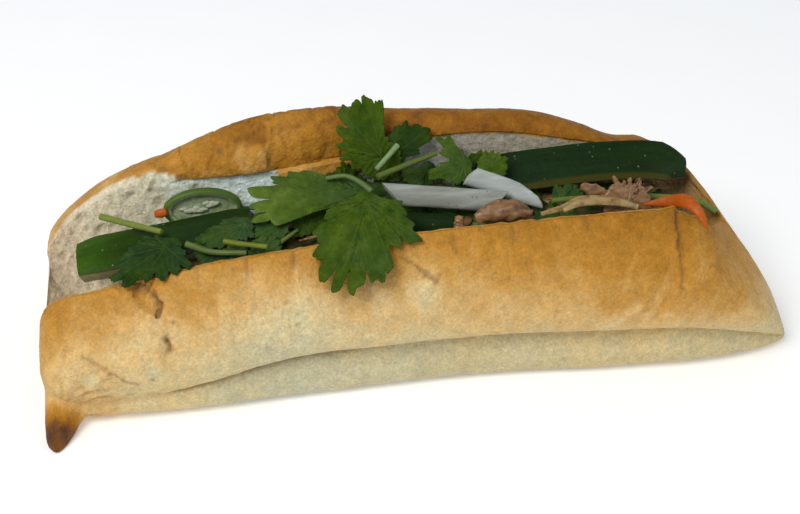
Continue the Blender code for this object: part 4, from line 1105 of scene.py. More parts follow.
def cucumbers(finish):
    """The strips of cucumber, with their skin up."""
    for name, (points, half_width, thickness, up, ends) in CUCUMBERS.items():
        outline, flesh = cucumber_outline(thickness)
        sizes = [(half_width * share, 1) for share in (ends[0], *[1] * 8, ends[1])]
        rings = sweep(points, outline, up, sizes, CUCUMBER_ROWS)
        end_rows = len(CUCUMBER_CAPS)
        is_flesh = np.broadcast_to(flesh, (len(rings) + 2 * end_rows, len(flesh))).copy()
        is_flesh[: end_rows - 1] = 1
        is_flesh[-end_rows + 1 :] = 1
        heights = [(x, z) for x, _, z in points]

        # Painted shade low on the skin of the right strip.
        def olive(at):
            below = along(at[:, :1, 0], heights) - OLIVE_BELOW - at[..., 2]
            return smooth(below / 0.8) * smooth((at[..., 0] - OLIVE_FROM) / 5)

        def relief(at):
            return 0.16 * noise(at, 3.2, 301, 2, (0.25, 1, 1)) + 0.05 * noise(at, 1.3, 305, 2)

        def bright(at):
            return np.interp(at[..., 0], SKIN_AT, SKIN_BRIGHT)

        values = {"flesh": is_flesh, "bright": bright, "olive": olive}
        solid(name, rings, finish, "cucumber", relief, values, CUCUMBER_CAPS)


def sticks(daikon, carrot):
    """The sticks of pickled daikon and carrot."""
    for name, (points, half, slant) in DAIKONS.items():
        is_front = name == "daikon_front"
        end = half if is_front else (DAIKON_THIN[0] * half[0], DAIKON_THIN[1] * half[1])
        sizes = [half, half, half, end]
        rings = sweep(points, rounded_box(*DAIKON_BOX), FRONT_AND_UP, sizes, DAIKON_ROWS, slant)

        def relief(at):
            return 0.12 * noise(at, 5.0, 313, 2) + 0.12 * noise(at, 1.4, 311, 2, (0.18, 1, 1))

        values = {
            "bright": DAIKON_BRIGHT[name], "brown": lambda at: is_front * smooth((at[..., 0] - 8) / 8),
        }
        solid(name, rings, daikon, "daikon", relief, values, DAIKON_CAPS, 0.9)
    for name, (points, halves) in CARROTS.items():
        rings = sweep(points, rounded_box(*CARROT_BOX), FRONT_AND_UP, halves, CARROT_ROWS)
        solid(name, rings, carrot, "carrot", lambda at: 0.09 * noise(at, 2.2, 317, 3), bulge=0.3)


def stalks(finish):
    """The stalks that show on their own."""
    for name, (points, start, end, light, yellow) in STEMS.items():
        sizes = [(start, start), (end, end)]
        rings = sweep(points, circle(STALK_SIDES), FRONT_AND_UP, sizes, STALK_ROWS)
        values = {"light": light, "yellow": yellow}
        solid(name, rings, finish, "stem", lambda at: 0.07 * noise(at, 1.6, 321, 2), values, bulge=0.25)


def shreds(finish):
    """The thin shreds of meat."""
    for name, points in SHREDS.items():
        rings = sweep(points, rounded_box(*SHRED_BOX), FRONT_AND_UP, SHRED_SIZES, SHRED_ROWS)
        solid(name, rings, finish, "chicken", lambda at: 0.16 * noise(at, 2.0, 325, 3))


def chicken(finish):
    """The lumps of meat, with dents and fibres along them."""
    i = np.linspace(0, LUMP_TURN, CHICKEN_ROWS + 1)[:, None]
    j = np.linspace(0, LUMP_TURN, CHICKEN_SIDES, endpoint=False)
    dents = 1 + 0.1 * np.sin(2.1 * i + 1.9 * np.round(j)) + 0.07 * np.sin(3.7 * np.round(j) - 1.3 * i)
    dents = 0.5 * dents + 0.25 * np.roll(dents, 2, axis=1) + 0.25 * np.roll(dents, -2, axis=1)

    def relief(at):
        fibre = noise(at, 1.2, 331, 2, (0.16, 1, 1))
        return 0.35 * noise(at, 5.0, 335, 2) + 0.14 * fibre + 0.08 * noise(at, 1.2, 337, 2)

    for name, (points, radii) in CHICKEN.items():
        sizes = [(radius, CHICKEN_FLATNESS * radius) for radius in radii]
        rings = sweep(points, circle(CHICKEN_SIDES), FRONT_AND_UP, sizes, CHICKEN_ROWS)
        line = rings.mean(axis=1, keepdims=True)
        solid(name, line + (rings - line) * dents[..., None], finish, "chicken", relief, bulge=0.5)


def leaf_reach(angles, lobes, squareness):
    """How far a leaf reaches from its stalk in each direction."""
    reach = np.full(angles.shape, LEAF_BASE)
    for angle, length, half_width in lobes:
        away = np.abs((angles - math.radians(angle) + math.pi) % (2 * math.pi) - math.pi)
        share = np.clip(away / math.radians(half_width), 0, 1)
        reach = np.maximum(reach, length * (1 - share**squareness))
    return reach


def leaf_frame(vein, face):
    """A leaf's own ways: along its middle vein, across it and out of its face."""
    out = Vector(face).normalized()
    ahead = Vector(vein)
    ahead = (ahead - out * ahead.dot(out)).normalized()
    return np.array(ahead), np.array(out.cross(ahead)), np.array(out)


def leaf_edge(lobes, seed, pointed):
    """Points round a leaf's edge in its own plane, evenly spaced, with small rounded teeth."""
    turns = np.linspace(-math.pi, math.pi, 2400)
    ways, lengths, _ = np.array(sorted(lobes)).T
    web = np.interp(turns, np.radians(ways), lengths, period=2 * math.pi)
    squareness, filled = (1.5, 0.76) if pointed else (LOBE_SQUARENESS, LEAF_WEB)
    reach = np.maximum(leaf_reach(turns, lobes, squareness), filled * web)
    reach = reach * (1 + 0.03 * np.sin(19 * turns + seed) + 0.02 * np.sin(37 * turns + 2 * seed))
    edge = np.stack([reach * np.cos(turns), reach * np.sin(turns)], 1)
    walked = np.concatenate([[0], np.cumsum(np.linalg.norm(np.diff(edge, axis=0), axis=1))])
    at = np.linspace(0, walked[-1], int(walked[-1] / LEAF_EDGE_STEP), endpoint=False)
    edge = np.stack([np.interp(at, walked, column) for column in edge.T], 1)
    way = np.roll(edge, -1, axis=0) - np.roll(edge, 1, axis=0)
    way /= np.maximum(np.linalg.norm(way, axis=1, keepdims=True), 1e-6)
    far = np.linalg.norm(edge, axis=1)
    across = 1.0 - 0.95 * np.abs((way * edge).sum(axis=1) / far)
    bite = 1 - np.abs(np.sin(math.pi * at / LEAF_TOOTH + 1.3 * np.sin(0.7 * at + seed))) ** 0.7
    inward = np.stack([-way[:, 1], way[:, 0]], 1)
    return edge + inward * (LEAF_TOOTH_DEPTH * bite * across * smooth((far - 3) / 4))[:, None]


def vein_angles(lobes):
    """The ways and lengths of the strong veins: to the longest lobes that are well apart."""
    chosen = []
    for angle, length, _ in sorted(lobes, key=lambda lobe: -lobe[1]):
        is_long = length > 0.3 * max(lobe[1] for lobe in lobes)
        if is_long and all(abs(angle - way) > VEIN_SPREAD for way, _ in chosen):
            chosen.append((angle, length))
    return chosen


def leaf_veins(a, b, lobes):
    """How near each point of a leaf is to a vein, and its height between the side veins, from -1 to 1."""
    angles, radius = np.arctan2(b, a), np.hypot(a, b)
    vein, quilt, nearest = np.zeros(a.shape), np.zeros(a.shape), np.full(a.shape, 9.0)
    for angle, length in vein_angles(lobes):
        turn = math.radians(angle)
        s = a * math.cos(turn) + b * math.sin(turn)
        t = -a * math.sin(turn) + b * math.cos(turn)
        away = np.abs((angles - turn + math.pi) % (2 * math.pi) - math.pi)
        width = 0.14 + 0.2 * np.clip(1 - s / length, 0, 1)
        main = smooth(1.3 - np.abs(t) / width) * (s > 0) * (s < 0.9 * length)
        phase = (s - 1.3 * np.abs(t)) / VEIN_SPACING + 0.5 * (t > 0)
        off = np.abs(phase - np.round(phase)) * VEIN_SPACING * 0.6
        side = smooth(1.2 - off / 0.16) * smooth((radius - 2) / 3)
        own = away < nearest
        quilt = np.where(own, -np.cos(2 * math.pi * phase), quilt)
        vein = np.where(own, np.maximum(main, 0.4 * side), np.maximum(vein, main))
        nearest = np.minimum(nearest, away)
    return vein, quilt


def leaf(name, shape, thickness, finish, slot, nodes, look, seed, quilt_height=0.18, pointed=False):
    """A thin wavy leaf with a toothed edge, sunken veins and swollen fields between them."""
    stalk, vein_way, face, bend, wave, lobes = shape
    ahead, across, out = leaf_frame(vein_way, face)
    longest = max(lobe[1] for lobe in lobes)
    edge = leaf_edge(lobes, seed, pointed)
    shares = np.linspace(0, 1, int(np.clip(longest * 0.8, 8, 26)) + 1)[1:]
    a, b = shares[:, None] * edge[:, 0], shares[:, None] * edge[:, 1]
    grid_shares = np.broadcast_to(shares[:, None], a.shape)
    angles, radius = np.arctan2(b, a), np.hypot(a, b)
    vein, quilt = leaf_veins(a, b, lobes)
    lift = -bend * (radius / longest) ** 2 + wave * np.sin(3 * angles + 0.7) * (radius / longest)
    lift += 0.35 * np.sin(9 * angles + seed) * grid_shares**3 * (radius / longest)
    lift += quilt_height * (0.6 * quilt * smooth((radius - 1.5) / 3) * (1 - grid_shares**4) - 0.9 * vein)
    flat = np.stack([a, b, np.full(a.shape, 7.0 * seed)], -1)
    lift += (0.4 if pointed else 1.0) * LEAF_CRINKLE * noise(flat, 5.0, 401, 2) * smooth(radius / 3)
    points = np.array(stalk) + a[..., None] * ahead + b[..., None] * across + lift[..., None] * out
    rows, around = a.shape
    points = np.concatenate([np.array(stalk)[None], points.reshape(-1, 3)])
    faces = [(0, 1 + j, 1 + (j + 1) % around) for j in range(around)]
    faces += [face[::-1] for face in ring_faces(rows, around, 1)]
    far = np.concatenate([[0], (radius / longest).ravel()])
    values = {
        "vein": np.concatenate([[1], vein.ravel()]),
        "light": look[0] + (look[1] - look[0]) * far,
        "blue": look[2] + (look[3] - look[2]) * far,
    }
    made = make_object(f"{name}_look", points, faces, finish, values, sharp=180)
    wall = made.modifiers.new("thickness", "SOLIDIFY")
    wall.thickness = thickness * MM
    wall.offset = -1.0
    return place(made, slot, *nodes)


def leaves(finish, meat):
    """The leaves on show, and the fan of meat, which is made as one."""
    for i, (name, shape) in enumerate(LEAVES.items()):
        leaf(name, shape, LEAF_THICKNESS, finish, "leaf", [name], LEAF_LOOKS[name], i)
    name = "chicken_fan"
    leaf(name, CHICKEN_FAN, CHICKEN_FAN_THICKNESS, meat, "chicken", [name], FAN_LOOK, 4, 0.15, True)


# Herbs that lie loose in the slot: how many, x from and to, y from and to, and the height at both y.
HERB_HEAPS = (
    (26, -30, 24, -7, 11, 47.5, 58.0), (9, -78, -44, -19, -9, 46.5, 50.0), (6, 24, 60, -14, -2, 47.0, 50.5),
)


def loose_herbs(finish):
    """Smaller leaves under and behind the ones on show."""
    rng = random.Random(23)
    shapes = [shape[-1] for shape in LEAVES.values()]
    made = 0
    for count, x0, x1, y0, y1, low, high in HERB_HEAPS:
        for _ in range(count):
            share = rng.random()
            x = rng.uniform(x0, x1)
            stalk = (x, y0 + (y1 - y0) * share, low + (high - low) * share + rng.uniform(-1, 0.6))
            turn = rng.uniform(0, 2 * math.pi)
            vein = (math.cos(turn), math.sin(turn), rng.uniform(-0.1, 0.1))
            face = (rng.uniform(-0.35, 0.35), rng.uniform(-0.75, -0.35), 0.86)
            lobes = rng.choice(shapes)
            size = rng.uniform(7, 11) / max(lobe[1] for lobe in lobes)
            lobes = [(angle, length * size, half) for angle, length, half in lobes]
            light, blue = rng.uniform(0.05, 0.4), rng.uniform(0, 0.6)
            look = (light, light + 0.1, blue, blue)
            shape = (stalk, vein, face, rng.uniform(0.5, 2.0), 0.9, lobes)
            leaf(f"herb_{made}", shape, LEAF_THICKNESS, finish, "leaf", (), look, made)
            made += 1


def chilli_place(points):
    """Points of the upright round chilli, squashed, leant back and moved to its place."""
    squash = np.array([1.0, CHILLI_RADIUS[1] / CHILLI_RADIUS[0], 1.0])
    lean = np.array(Matrix.Rotation(math.radians(90 - CHILLI_LEAN), 3, "X"))
    return (np.asarray(points).reshape(-1, 3) * squash) @ lean.T + np.array(CHILLI_MIDDLE)


def chilli(finish):
    """The ring of chilli wall, the pale inner flesh that is left in it, and flat seeds on the flesh."""
    around = 2 * math.pi * np.arange(CHILLI_ROWS) / CHILLI_ROWS
    tube = circle(CHILLI_SIDES)
    rings = []
    for turn in around:
        thick = 0.5 * CHILLI_WALL * (1 + max(0.0, math.sin(turn)))
        reach = CHILLI_RADIUS[0] + 0.5 * CHILLI_WALL - thick + tube[:, 0] * thick
        rings.append(np.stack([reach * math.cos(turn), reach * math.sin(turn), tube[:, 1] * thick], 1))
    rings = np.array(rings)
    out, up = np.broadcast_to(tube.T[:, None], (2, CHILLI_ROWS, CHILLI_SIDES))
    normals = np.stack([out * np.cos(around)[:, None], out * np.sin(around)[:, None], up], -1)
    rings = rings + normals * (0.15 + 0.12 * noise(rings, 3.0, 341, 2))[..., None]
    faces = ring_faces(CHILLI_ROWS, CHILLI_SIDES)
    last = (CHILLI_ROWS - 1) * CHILLI_SIDES
    for j in range(CHILLI_SIDES):
        k = (j + 1) % CHILLI_SIDES
        faces.append((last + j, last + k, k, j))
    values = {"skin": smooth(out * 1.5 + 0.95).ravel()}
    made = make_object("chilli_ring_look", chilli_place(rings), faces, finish, values)
    place(fix_normals(made), "chilli", "chilli_ring")

    rows = np.linspace(1, 0.06, FLESH_ROWS)
    sides = circle(FLESH_SIDES) * (CHILLI_RADIUS[0] - 0.9)
    web = []
    for side in (FLESH_HALF, -FLESH_HALF):
        layer = np.array([np.column_stack([sides * row, np.zeros(FLESH_SIDES)]) for row in rows])
        bump = 0.5 * noise(layer, 2.6, 345, 3) * np.sin(math.pi * rows)[:, None]
        layer[..., 2] = side + bump - 0.5
        web.append(layer)
    rings = np.concatenate([web[0][::-1], web[1]])
    faces = tube_faces(*rings.shape[:2])
    values = {"skin": np.full(rings[..., 0].size, CHILLI_PALE)}
    made = make_object("chilli_inside", chilli_place(rings), faces, finish, values)
    place(fix_normals(made), "chilli")

    rng = random.Random(31)
    points, faces = [], []
    bands = np.linspace(0, math.pi, 9)[1:-1]
    seed_sides = circle(SEED_SIDES)
    rings = [np.column_stack([seed_sides * np.sin(b), np.full(SEED_SIDES, np.cos(b))]) for b in bands]
    for i in range(CHILLI_SEEDS):
        turn, size = rng.uniform(0, math.pi), rng.uniform(1.4, 2.0)
        middle = np.array([-6.5 + 1.1 * i, rng.uniform(-1.5, 3.5), 0.7])
        turned = np.array(Matrix.Rotation(turn, 3, "Z")).T
        ring = np.array(rings) * np.array([size, 0.75 * size, 0.5]) @ turned + middle
        faces += shifted(tube_faces(*ring.shape[:2]), len(points))
        points += list(ring.reshape(-1, 3))
    values = {"skin": np.full(len(points), CHILLI_PALE), "seed": np.ones(len(points))}
    made = make_object("chilli_seeds", chilli_place(points), faces, finish, values)
    place(fix_normals(made), "chilli")


def slot_walls(x):
    """The front and the back wall of the slot at x, as (y, z) points from the floor up."""
    section = loaf_section(x, BED_SECTION)
    front_from = BED_SECTION["foot"] + BED_SECTION["dome"] + BED_SECTION["rim"]
    floor = front_from + BED_SECTION["slot_front"]
    return section[front_from : floor + 1][::-1], section[floor : floor + BED_SECTION["slot_back"] + 1]


def bed_shape(x, across):
    """The bed's floor height, top height, front and back y near the top, and lumps over it at x."""
    front, back = slot_walls(x)
    floor = front[0][1] + 2.5
    top = max(along(x, BED_TOP), floor + 3)
    heights = np.linspace(floor, top - 2, 10)
    front_y = np.interp(heights, front[:, 1], front[:, 0]) + BED_GAP
    back_y = np.interp(heights, back[:, 1], back[:, 0]) - BED_GAP
    i = (x - BED_FROM) / (BED_TO - BED_FROM) * BED_STATIONS
    lumps = 0.9 * np.sin(2.7 * i + 5.1 * across) + 1.6 * np.sin(math.pi * across)
    return heights, front_y, back_y, top, lumps


def bed(finish):
    """The heap in the slot."""
    rings = []
    for x in np.linspace(BED_FROM, BED_TO, BED_ROWS):
        across = np.linspace(0, 1, 32)[1:-1]
        heights, front_y, back_y, top, lumps = bed_shape(x, across)
        ring = list(zip(front_y, heights))
        ring += [(front_y[-1] + (back_y[-1] - front_y[-1]) * s, top - 1.6 + h) for s, h in zip(across, lumps)]
        ring += list(zip(back_y, heights))[::-1]
        rings.append([(x, y, z) for y, z in ring])

    def relief(at):
        return 0.9 * noise(at, 5.0, 351, 3) + 0.5 * noise(at, 2.0, 355, 2, (0.4, 1, 1))

    solid("filling_bed", np.array(rings), finish, "filling", relief)


def bits(herb, stalk, meat, pale):
    """Shreds of meat, bits of leaf and stalks that lie on the heap."""
    rng = random.Random(11)
    groups = {"bits_leaf": [], "bits_stalk": [], "bits_meat": [], "bits_pale": []}
    for _ in range(BITS):
        x = rng.uniform(*BITS_SPAN)
        s = rng.uniform(0.08, 0.92)
        _, front_y, back_y, top, lumps = bed_shape(x, np.array([s]))
        y = front_y[-1] + (back_y[-1] - front_y[-1]) * s
        z = top - 1.2 + lumps[0] + rng.uniform(0.0, 1.4)
        if BITS_LOW_FROM < x < BITS_LOW_TO:
            z -= BITS_LOW_BY
        turn = rng.gauss(0, 0.7)
        way = np.array([math.cos(turn), math.sin(turn), rng.uniform(-0.15, 0.15)])
        side = np.array([-math.sin(turn), math.cos(turn), 0])
        meaty = rng.random() < (0.3 if x < -35 else 0.75 if x > 12 else 0.5)
        length = rng.uniform(7, 17)
        bow = rng.uniform(-2.2, 2.2)
        middle = np.array([x, y, z])
        line = np.array([
            middle - way * length / 2, middle + side * bow + np.array([0, 0, 0.6]), middle + way * length / 2,
        ])
        line[:, 1] = np.clip(line[:, 1], front_y[-1] + BITS_GAP, back_y[-1] - BITS_GAP)
        if meaty:
            kind = "bits_pale" if rng.random() < 0.3 else "bits_meat"
            half = rng.uniform(0.6, 1.5)
            sizes, outline = [(0.4, 0.3), (half, 0.5), (half, 0.5), (0.3, 0.2)], rounded_box(10, 3)
        elif rng.random() < 0.5:
            kind, sizes, outline = "bits_stalk", [(0.6, 0.6), (0.7, 0.7)], circle(9)
        else:
            half = rng.uniform(1.6, 3.2)
            sizes = [(0.4, 0.12), (half, 0.14), (0.6 * half, 0.14), (half, 0.14), (0.3, 0.12)]
            kind, outline = "bits_leaf", rounded_box(12, 3)
        groups[kind].append((line, sizes, outline))
    finishes = ((herb, "leaf"), (stalk, "stem"), (meat, "chicken"), (pale, "chicken"))
    for (name, pieces), (finish, slot) in zip(groups.items(), finishes):
        points, faces, values = [], [], {"light": [], "blue": [], "yellow": [], "vein": []}
        for i, (line, sizes, outline) in enumerate(pieces):
            rings = sweep(line, outline, BITS_UP, sizes, BITS_ROWS)
            rings = rings + grid_normals(rings) * (0.22 * noise(rings, 1.8, 361, 2))[..., None]
            if name == "bits_leaf":
                rings[..., 2] += 0.7 * np.sin(0.9 * np.arange(rings.shape[0]) + i)[:, None]
            faces += shifted(tube_faces(*rings.shape[:2]), len(points))
            points += list(rings.reshape(-1, 3))
            for key, low, span, cell in BITS_LOOKS:
                values[key] += [low + span * hashed(np.array([i, cell, 5]), 7)] * rings[..., 0].size
        place(fix_normals(make_object(name, points, faces, finish, values)), slot)


FINISH_SOCKETS = (
    "Roughness", "Specular IOR Level", "Subsurface Weight", "Subsurface Scale", "Subsurface Radius",
)
# The colour mix node's sockets for the share and both colours, and its result.
MIX_SOCKETS = (0, 6, 7)
MIX_RESULT = 2


class Finish:
    """A procedural material: short names for the nodes that these finishes use."""

    def __init__(self, name, roughness, specular=0.5, subsurface=()):
        """The subsurface part is its weight, its scale in metres, and its radius where that matters."""
        self.made = bpy.data.materials.new(name)
        self.made.use_nodes = True
        self.tree = self.made.node_tree
        self.shader = self.tree.nodes["Principled BSDF"]
        for key, value in zip(FINISH_SOCKETS, (roughness, specular, *subsurface)):
            self.shader.inputs[key].default_value = value
        self.place = self.add("TexCoord").outputs["Object"]

    def put(self, socket, value):
        """Gives a socket another node's output, a colour or a number."""
        if isinstance(value, bpy.types.NodeSocket):
            self.tree.links.new(value, socket)
        elif isinstance(value, tuple) and len(value) == 3 and socket.type == "RGBA":
            socket.default_value = (*value, 1)
        else:
            socket.default_value = value

    def add(self, kind, **inputs):
        """A new node with these inputs, whose names have _ for a blank."""
        node = self.tree.nodes.new(f"ShaderNode{kind}")
        for key, value in inputs.items():
            self.put(node.inputs[key.replace("_", " ")], value)
        return node

    def attribute(self, name):
        node = self.add("Attribute")
        node.attribute_name = name
        return node.outputs["Fac"]

    def noise(self, size, detail=3, rough=0.55, stretch=None):
        """Noise from 0 to 1 with blobs of this size in millimetres, longer where stretch is below 1."""
        at = self.place
        if stretch:
            at = self.add("Mapping", Vector=at, Scale=stretch).outputs["Vector"]
        node = self.add("TexNoise", Vector=at, Scale=1 / (size * MM), Detail=detail, Roughness=rough)
        return node.outputs["Fac"]

    def cells(self, size):
        """The distance to the nearest of scattered points that are about this far apart."""
        return self.add("TexVoronoi", Vector=self.place, Scale=1 / (size * MM)).outputs["Distance"]

    def math(self, kind, a, b, clamp):
        node = self.add("Math")
        node.operation = kind
        node.use_clamp = clamp
        self.put(node.inputs[0], a)
        self.put(node.inputs[1], b)
        return node.outputs[0]

    def plus(self, a, b, clamp=False):
        return self.math("ADD", a, b, clamp)

    def times(self, a, b, clamp=False):
        return self.math("MULTIPLY", a, b, clamp)

    def span(self, value, low, high, to_low=0.0, to_high=1.0):
        """The value, changed evenly so that low to high becomes to_low to to_high."""
        node = self.add("MapRange", Value=value, From_Min=low, From_Max=high, To_Min=to_low, To_Max=to_high)
        return node.outputs["Result"]

    def ramp(self, value, stops):
        """The colour at this value between the (value, colour) stops."""
        node = self.add("ValToRGB", Fac=value)
        points = node.color_ramp.elements
        while len(points) < len(stops):
            points.new(0.5)
        for point, (at, color) in zip(points, stops):
            point.position = at
            point.color = (*color, 1)
        return node.outputs["Color"]

    def mix(self, share, a, b, kind="MIX"):
        """A colour from a to b, or another blend of the two."""
        node = self.add("Mix")
        node.data_type = "RGBA"
        node.blend_type = kind
        for socket, value in zip(MIX_SOCKETS, (share, a, b)):
            self.put(node.inputs[socket], value)
        return node.outputs[MIX_RESULT]

    def shade(self, color, value, low, high):
        """The colour times a grey from low to high."""
        return self.mix(1.0, color, self.span(value, 0.3, 0.7, low, high), "MULTIPLY")

    def mottle(self, color, size, detail, low, high, stretch=None):
        """The colour times a grey from low to high, in blobs of this size in millimetres."""
        return self.shade(color, self.noise(size, detail, stretch=stretch), low, high)

    def stain(self, color, name, amount, other):
        """The colour with so much of another one where the attribute is 1."""
        return self.mix(self.times(self.attribute(name), amount), color, other)

    def bump(self, height, depth):
        """Fine relief of this depth in millimetres, on top of what there is."""
        node = self.add("Bump", Strength=1.0, Distance=depth * MM, Height=height)
        normal = self.shader.inputs["Normal"]
        if normal.is_linked:
            self.tree.links.new(normal.links[0].from_socket, node.inputs["Normal"])
        self.tree.links.new(node.outputs["Normal"], normal)

    def color(self, value):
        self.put(self.shader.inputs["Base Color"], value)

    def roughness(self, value):
        self.put(self.shader.inputs["Roughness"], value)


def bread_finish():
    f = Finish("bread_crust", 0.6, 0.16, (0.04, 0.002, (1.0, 0.6, 0.35)))
    grain = f.noise(0.9, 3, 0.7)
    tone = f.attribute("tone")
    for size, detail, amount in ((9.0, 2, 0.03), (3.0, 3, 0.022), (1.3, 2, 0.01)):
        tone = f.plus(tone, f.span(f.noise(size, detail), 0.32, 0.68, -amount, amount))
    tone = f.plus(tone, f.span(grain, 0.32, 0.68, -0.01, 0.01))
    crust = f.ramp(tone, (
        (0.0, (0.54, 0.50, 0.35)), (0.12, (0.57, 0.505, 0.32)), (0.25, (0.665, 0.53, 0.29)),
        (0.38, (0.66, 0.45, 0.20)), (0.50, (0.56, 0.32, 0.09)), (0.62, (0.48, 0.235, 0.035)),
        (0.74, (0.38, 0.17, 0.014)), (0.86, (0.25, 0.095, 0.006)), (0.94, (0.11, 0.042, 0.020)),
        (1.0, (0.05, 0.02, 0.012)),
    ))
    warm = f.plus(f.attribute("warm"), f.span(f.noise(4.0, 3), 0.25, 0.75, -0.12, 0.12))
    hue = f.ramp(warm, ((0.0, (0.97, 1.0, 1.0)), (1.0, (1.0, 0.91, 0.74))))
    crust = f.mix(1.0, crust, hue, "MULTIPLY")
    specks = f.span(f.cells(1.7), 0.05, 0.15, 1, 0)
    specks = f.times(specks, f.span(f.noise(7, 2), 0.4, 0.6, 0, 0.6))
    crust = f.mix(specks, crust, (0.24, 0.11, 0.03))
    crust = f.shade(crust, grain, 0.84, 1.2)
    crust = f.mottle(crust, 1.7, 2, 0.93, 1.08)
    crust = f.mottle(crust, 4.0, 3, 0.9, 1.1)
    # Painted shade in the cracks between the back crust's plates.
    crust = f.stain(crust, "pore", 0.5, (0.16, 0.07, 0.02))
    # Painted shade: the crust is darker in its cracks, the chip, the crease, its pits and along torn flake
    # edges.
    crust = f.stain(crust, "bare", 0.9, (0.22, 0.115, 0.045))
    crust = f.stain(crust, "pit", 0.85, (0.13, 0.06, 0.02))
    # The crumb's colour along the loaf is partly its own tan at both ends and partly painted light: the
    # bluish white in the middle is painted sky light on crumb that lies in shade, and the darker tan towards
    # the right is painted shade.
    crumb = f.ramp(f.attribute("along"), (
        (0.0, (0.60, 0.47, 0.31)), (0.07, (0.72, 0.62, 0.44)), (0.16, (0.64, 0.60, 0.42)),
        (0.29, (0.80, 0.92, 0.88)), (0.48, (0.66, 0.70, 0.62)), (0.63, (0.40, 0.36, 0.28)),
        (0.78, (0.42, 0.37, 0.27)), (0.91, (0.36, 0.26, 0.13)), (1.0, (0.34, 0.20, 0.08)),
    ))
    crumb = f.mottle(crumb, 2.2, 4, 0.76, 1.2)
    crumb = f.mottle(crumb, 0.8, 2, 0.84, 1.14)
    # Painted shade in the crumb's pores.
    crumb = f.stain(crumb, "pore", 0.5, (0.36, 0.29, 0.19))
    f.color(f.mix(f.attribute("crumb"), crust, crumb))
    f.roughness(f.span(f.attribute("crumb"), 0, 1, 0.55, 0.9))
    f.bump(f.noise(0.8, 3, 0.7), 0.26)
    f.bump(f.noise(2.0, 3, 0.6), 0.5)
    f.bump(f.noise(4.5, 3, 0.6), 0.6)
    return f.made


def leaf_finish():
    f = Finish("coriander_leaf", 0.5, 0.07, (0.1, 0.001, (0.4, 1.0, 0.2)))
    light = f.plus(f.attribute("light"), f.span(f.noise(6.0, 3), 0.3, 0.7, -0.22, 0.22))
    color = f.ramp(light, (
        (0.0, (0.012, 0.034, 0.002)), (0.35, (0.036, 0.070, 0.002)), (0.7, (0.068, 0.112, 0.006)),
        (1.0, (0.108, 0.165, 0.02)),
    ))
    # Painted sheen: a bluish green stands in for sky light on the leaves.
    blue = f.plus(f.attribute("blue"), f.span(f.noise(13, 2), 0.3, 0.7, -0.3, 0.3))
    blue = f.times(blue, 0.5, True)
    color = f.mix(blue, color, (0.040, 0.092, 0.045))
    color = f.mottle(color, 2.4, 3, 0.8, 1.2)
    color = f.mottle(color, 0.8, 2, 0.9, 1.1)
    f.color(f.stain(color, "vein", 0.16, (0.12, 0.19, 0.05)))
    f.roughness(f.span(f.noise(2.5, 2), 0.3, 0.7, 0.4, 0.56))
    f.bump(f.noise(0.5, 2), 0.03)
    return f.made


def stalk_finish():
    f = Finish("stalk", 0.42, 0.22, (0.12, 0.001, (0.6, 1.0, 0.2)))
    dark = f.mix(f.attribute("yellow"), (0.030, 0.075, 0.010), (0.08, 0.085, 0.008))
    pale = f.mix(f.attribute("yellow"), (0.20, 0.30, 0.14), (0.19, 0.24, 0.015))
    color = f.mix(f.attribute("light"), dark, pale)
    f.color(f.mottle(color, 1.6, 3, 0.86, 1.14, (0.25, 1, 1)))
    f.bump(f.noise(0.6, 2, stretch=(0.2, 1, 1)), 0.04)
    return f.made


def cucumber_finish():
    f = Finish("cucumber", 0.4, 0.1, (0.04, 0.001))
    skin = f.ramp(f.attribute("bright"), (
        (0.0, (0.008, 0.022, 0.005)), (0.5, (0.014, 0.038, 0.002)), (1.0, (0.034, 0.084, 0.002)),
    ))
    skin = f.mottle(skin, 3.5, 3, 0.72, 1.28, (0.16, 1, 1))
    skin = f.mottle(skin, 0.9, 3, 0.88, 1.12)
    specks = f.times(f.span(f.cells(3.0), 0.07, 0.13, 1, 0), f.span(f.noise(6, 2), 0.42, 0.56, 0, 1))
    skin = f.mix(f.times(specks, 0.5), skin, (0.26, 0.34, 0.28))
    # Painted shade: the skin low on the right strip is dark olive, the colour of its flesh in shade.
    skin = f.mix(f.attribute("olive"), skin, (0.050, 0.046, 0.006))
    flesh = f.mix(f.noise(2.5, 3), (0.22, 0.20, 0.10), (0.40, 0.35, 0.21))
    f.color(f.mix(f.attribute("flesh"), skin, flesh))
    f.roughness(f.span(f.noise(1.8, 3), 0.3, 0.7, 0.3, 0.5))
    f.bump(f.noise(1.1, 3), 0.06)
    return f.made


def daikon_finish():
    f = Finish("daikon", 0.3, 0.45, (0.3, 0.002, (1.0, 0.95, 0.85)))
    fibres = f.noise(2.2, 4, stretch=(0.16, 1, 1))
    # The low end of this ramp is painted shade, for the stick that lies in shade.
    color = f.ramp(f.plus(f.attribute("bright"), f.span(fibres, 0.3, 0.7, -0.25, 0.25)), (
        (0.0, (0.20, 0.20, 0.16)), (0.4, (0.30, 0.315, 0.275)), (1.0, (0.52, 0.56, 0.54)),
    ))
    flecks = f.times(f.span(f.cells(1.8), 0.1, 0.22, 1, 0), f.attribute("brown"))
    f.color(f.mix(flecks, color, (0.22, 0.10, 0.03)))
    f.bump(f.noise(0.8, 3, stretch=(0.15, 1, 1)), 0.07)
    return f.made


def carrot_finish():
    f = Finish("carrot", 0.42, 0.2, (0.15, 0.0015, (1.0, 0.4, 0.1)))
    color = f.mix(f.noise(1.8, 4), (0.30, 0.045, 0.002), (0.56, 0.12, 0.005))
    f.color(f.mix(f.span(f.noise(3.0, 2), 0.55, 0.7, 0, 0.25), color, (0.5, 0.22, 0.04)))
    f.bump(f.noise(0.8, 3), 0.08)
    return f.made


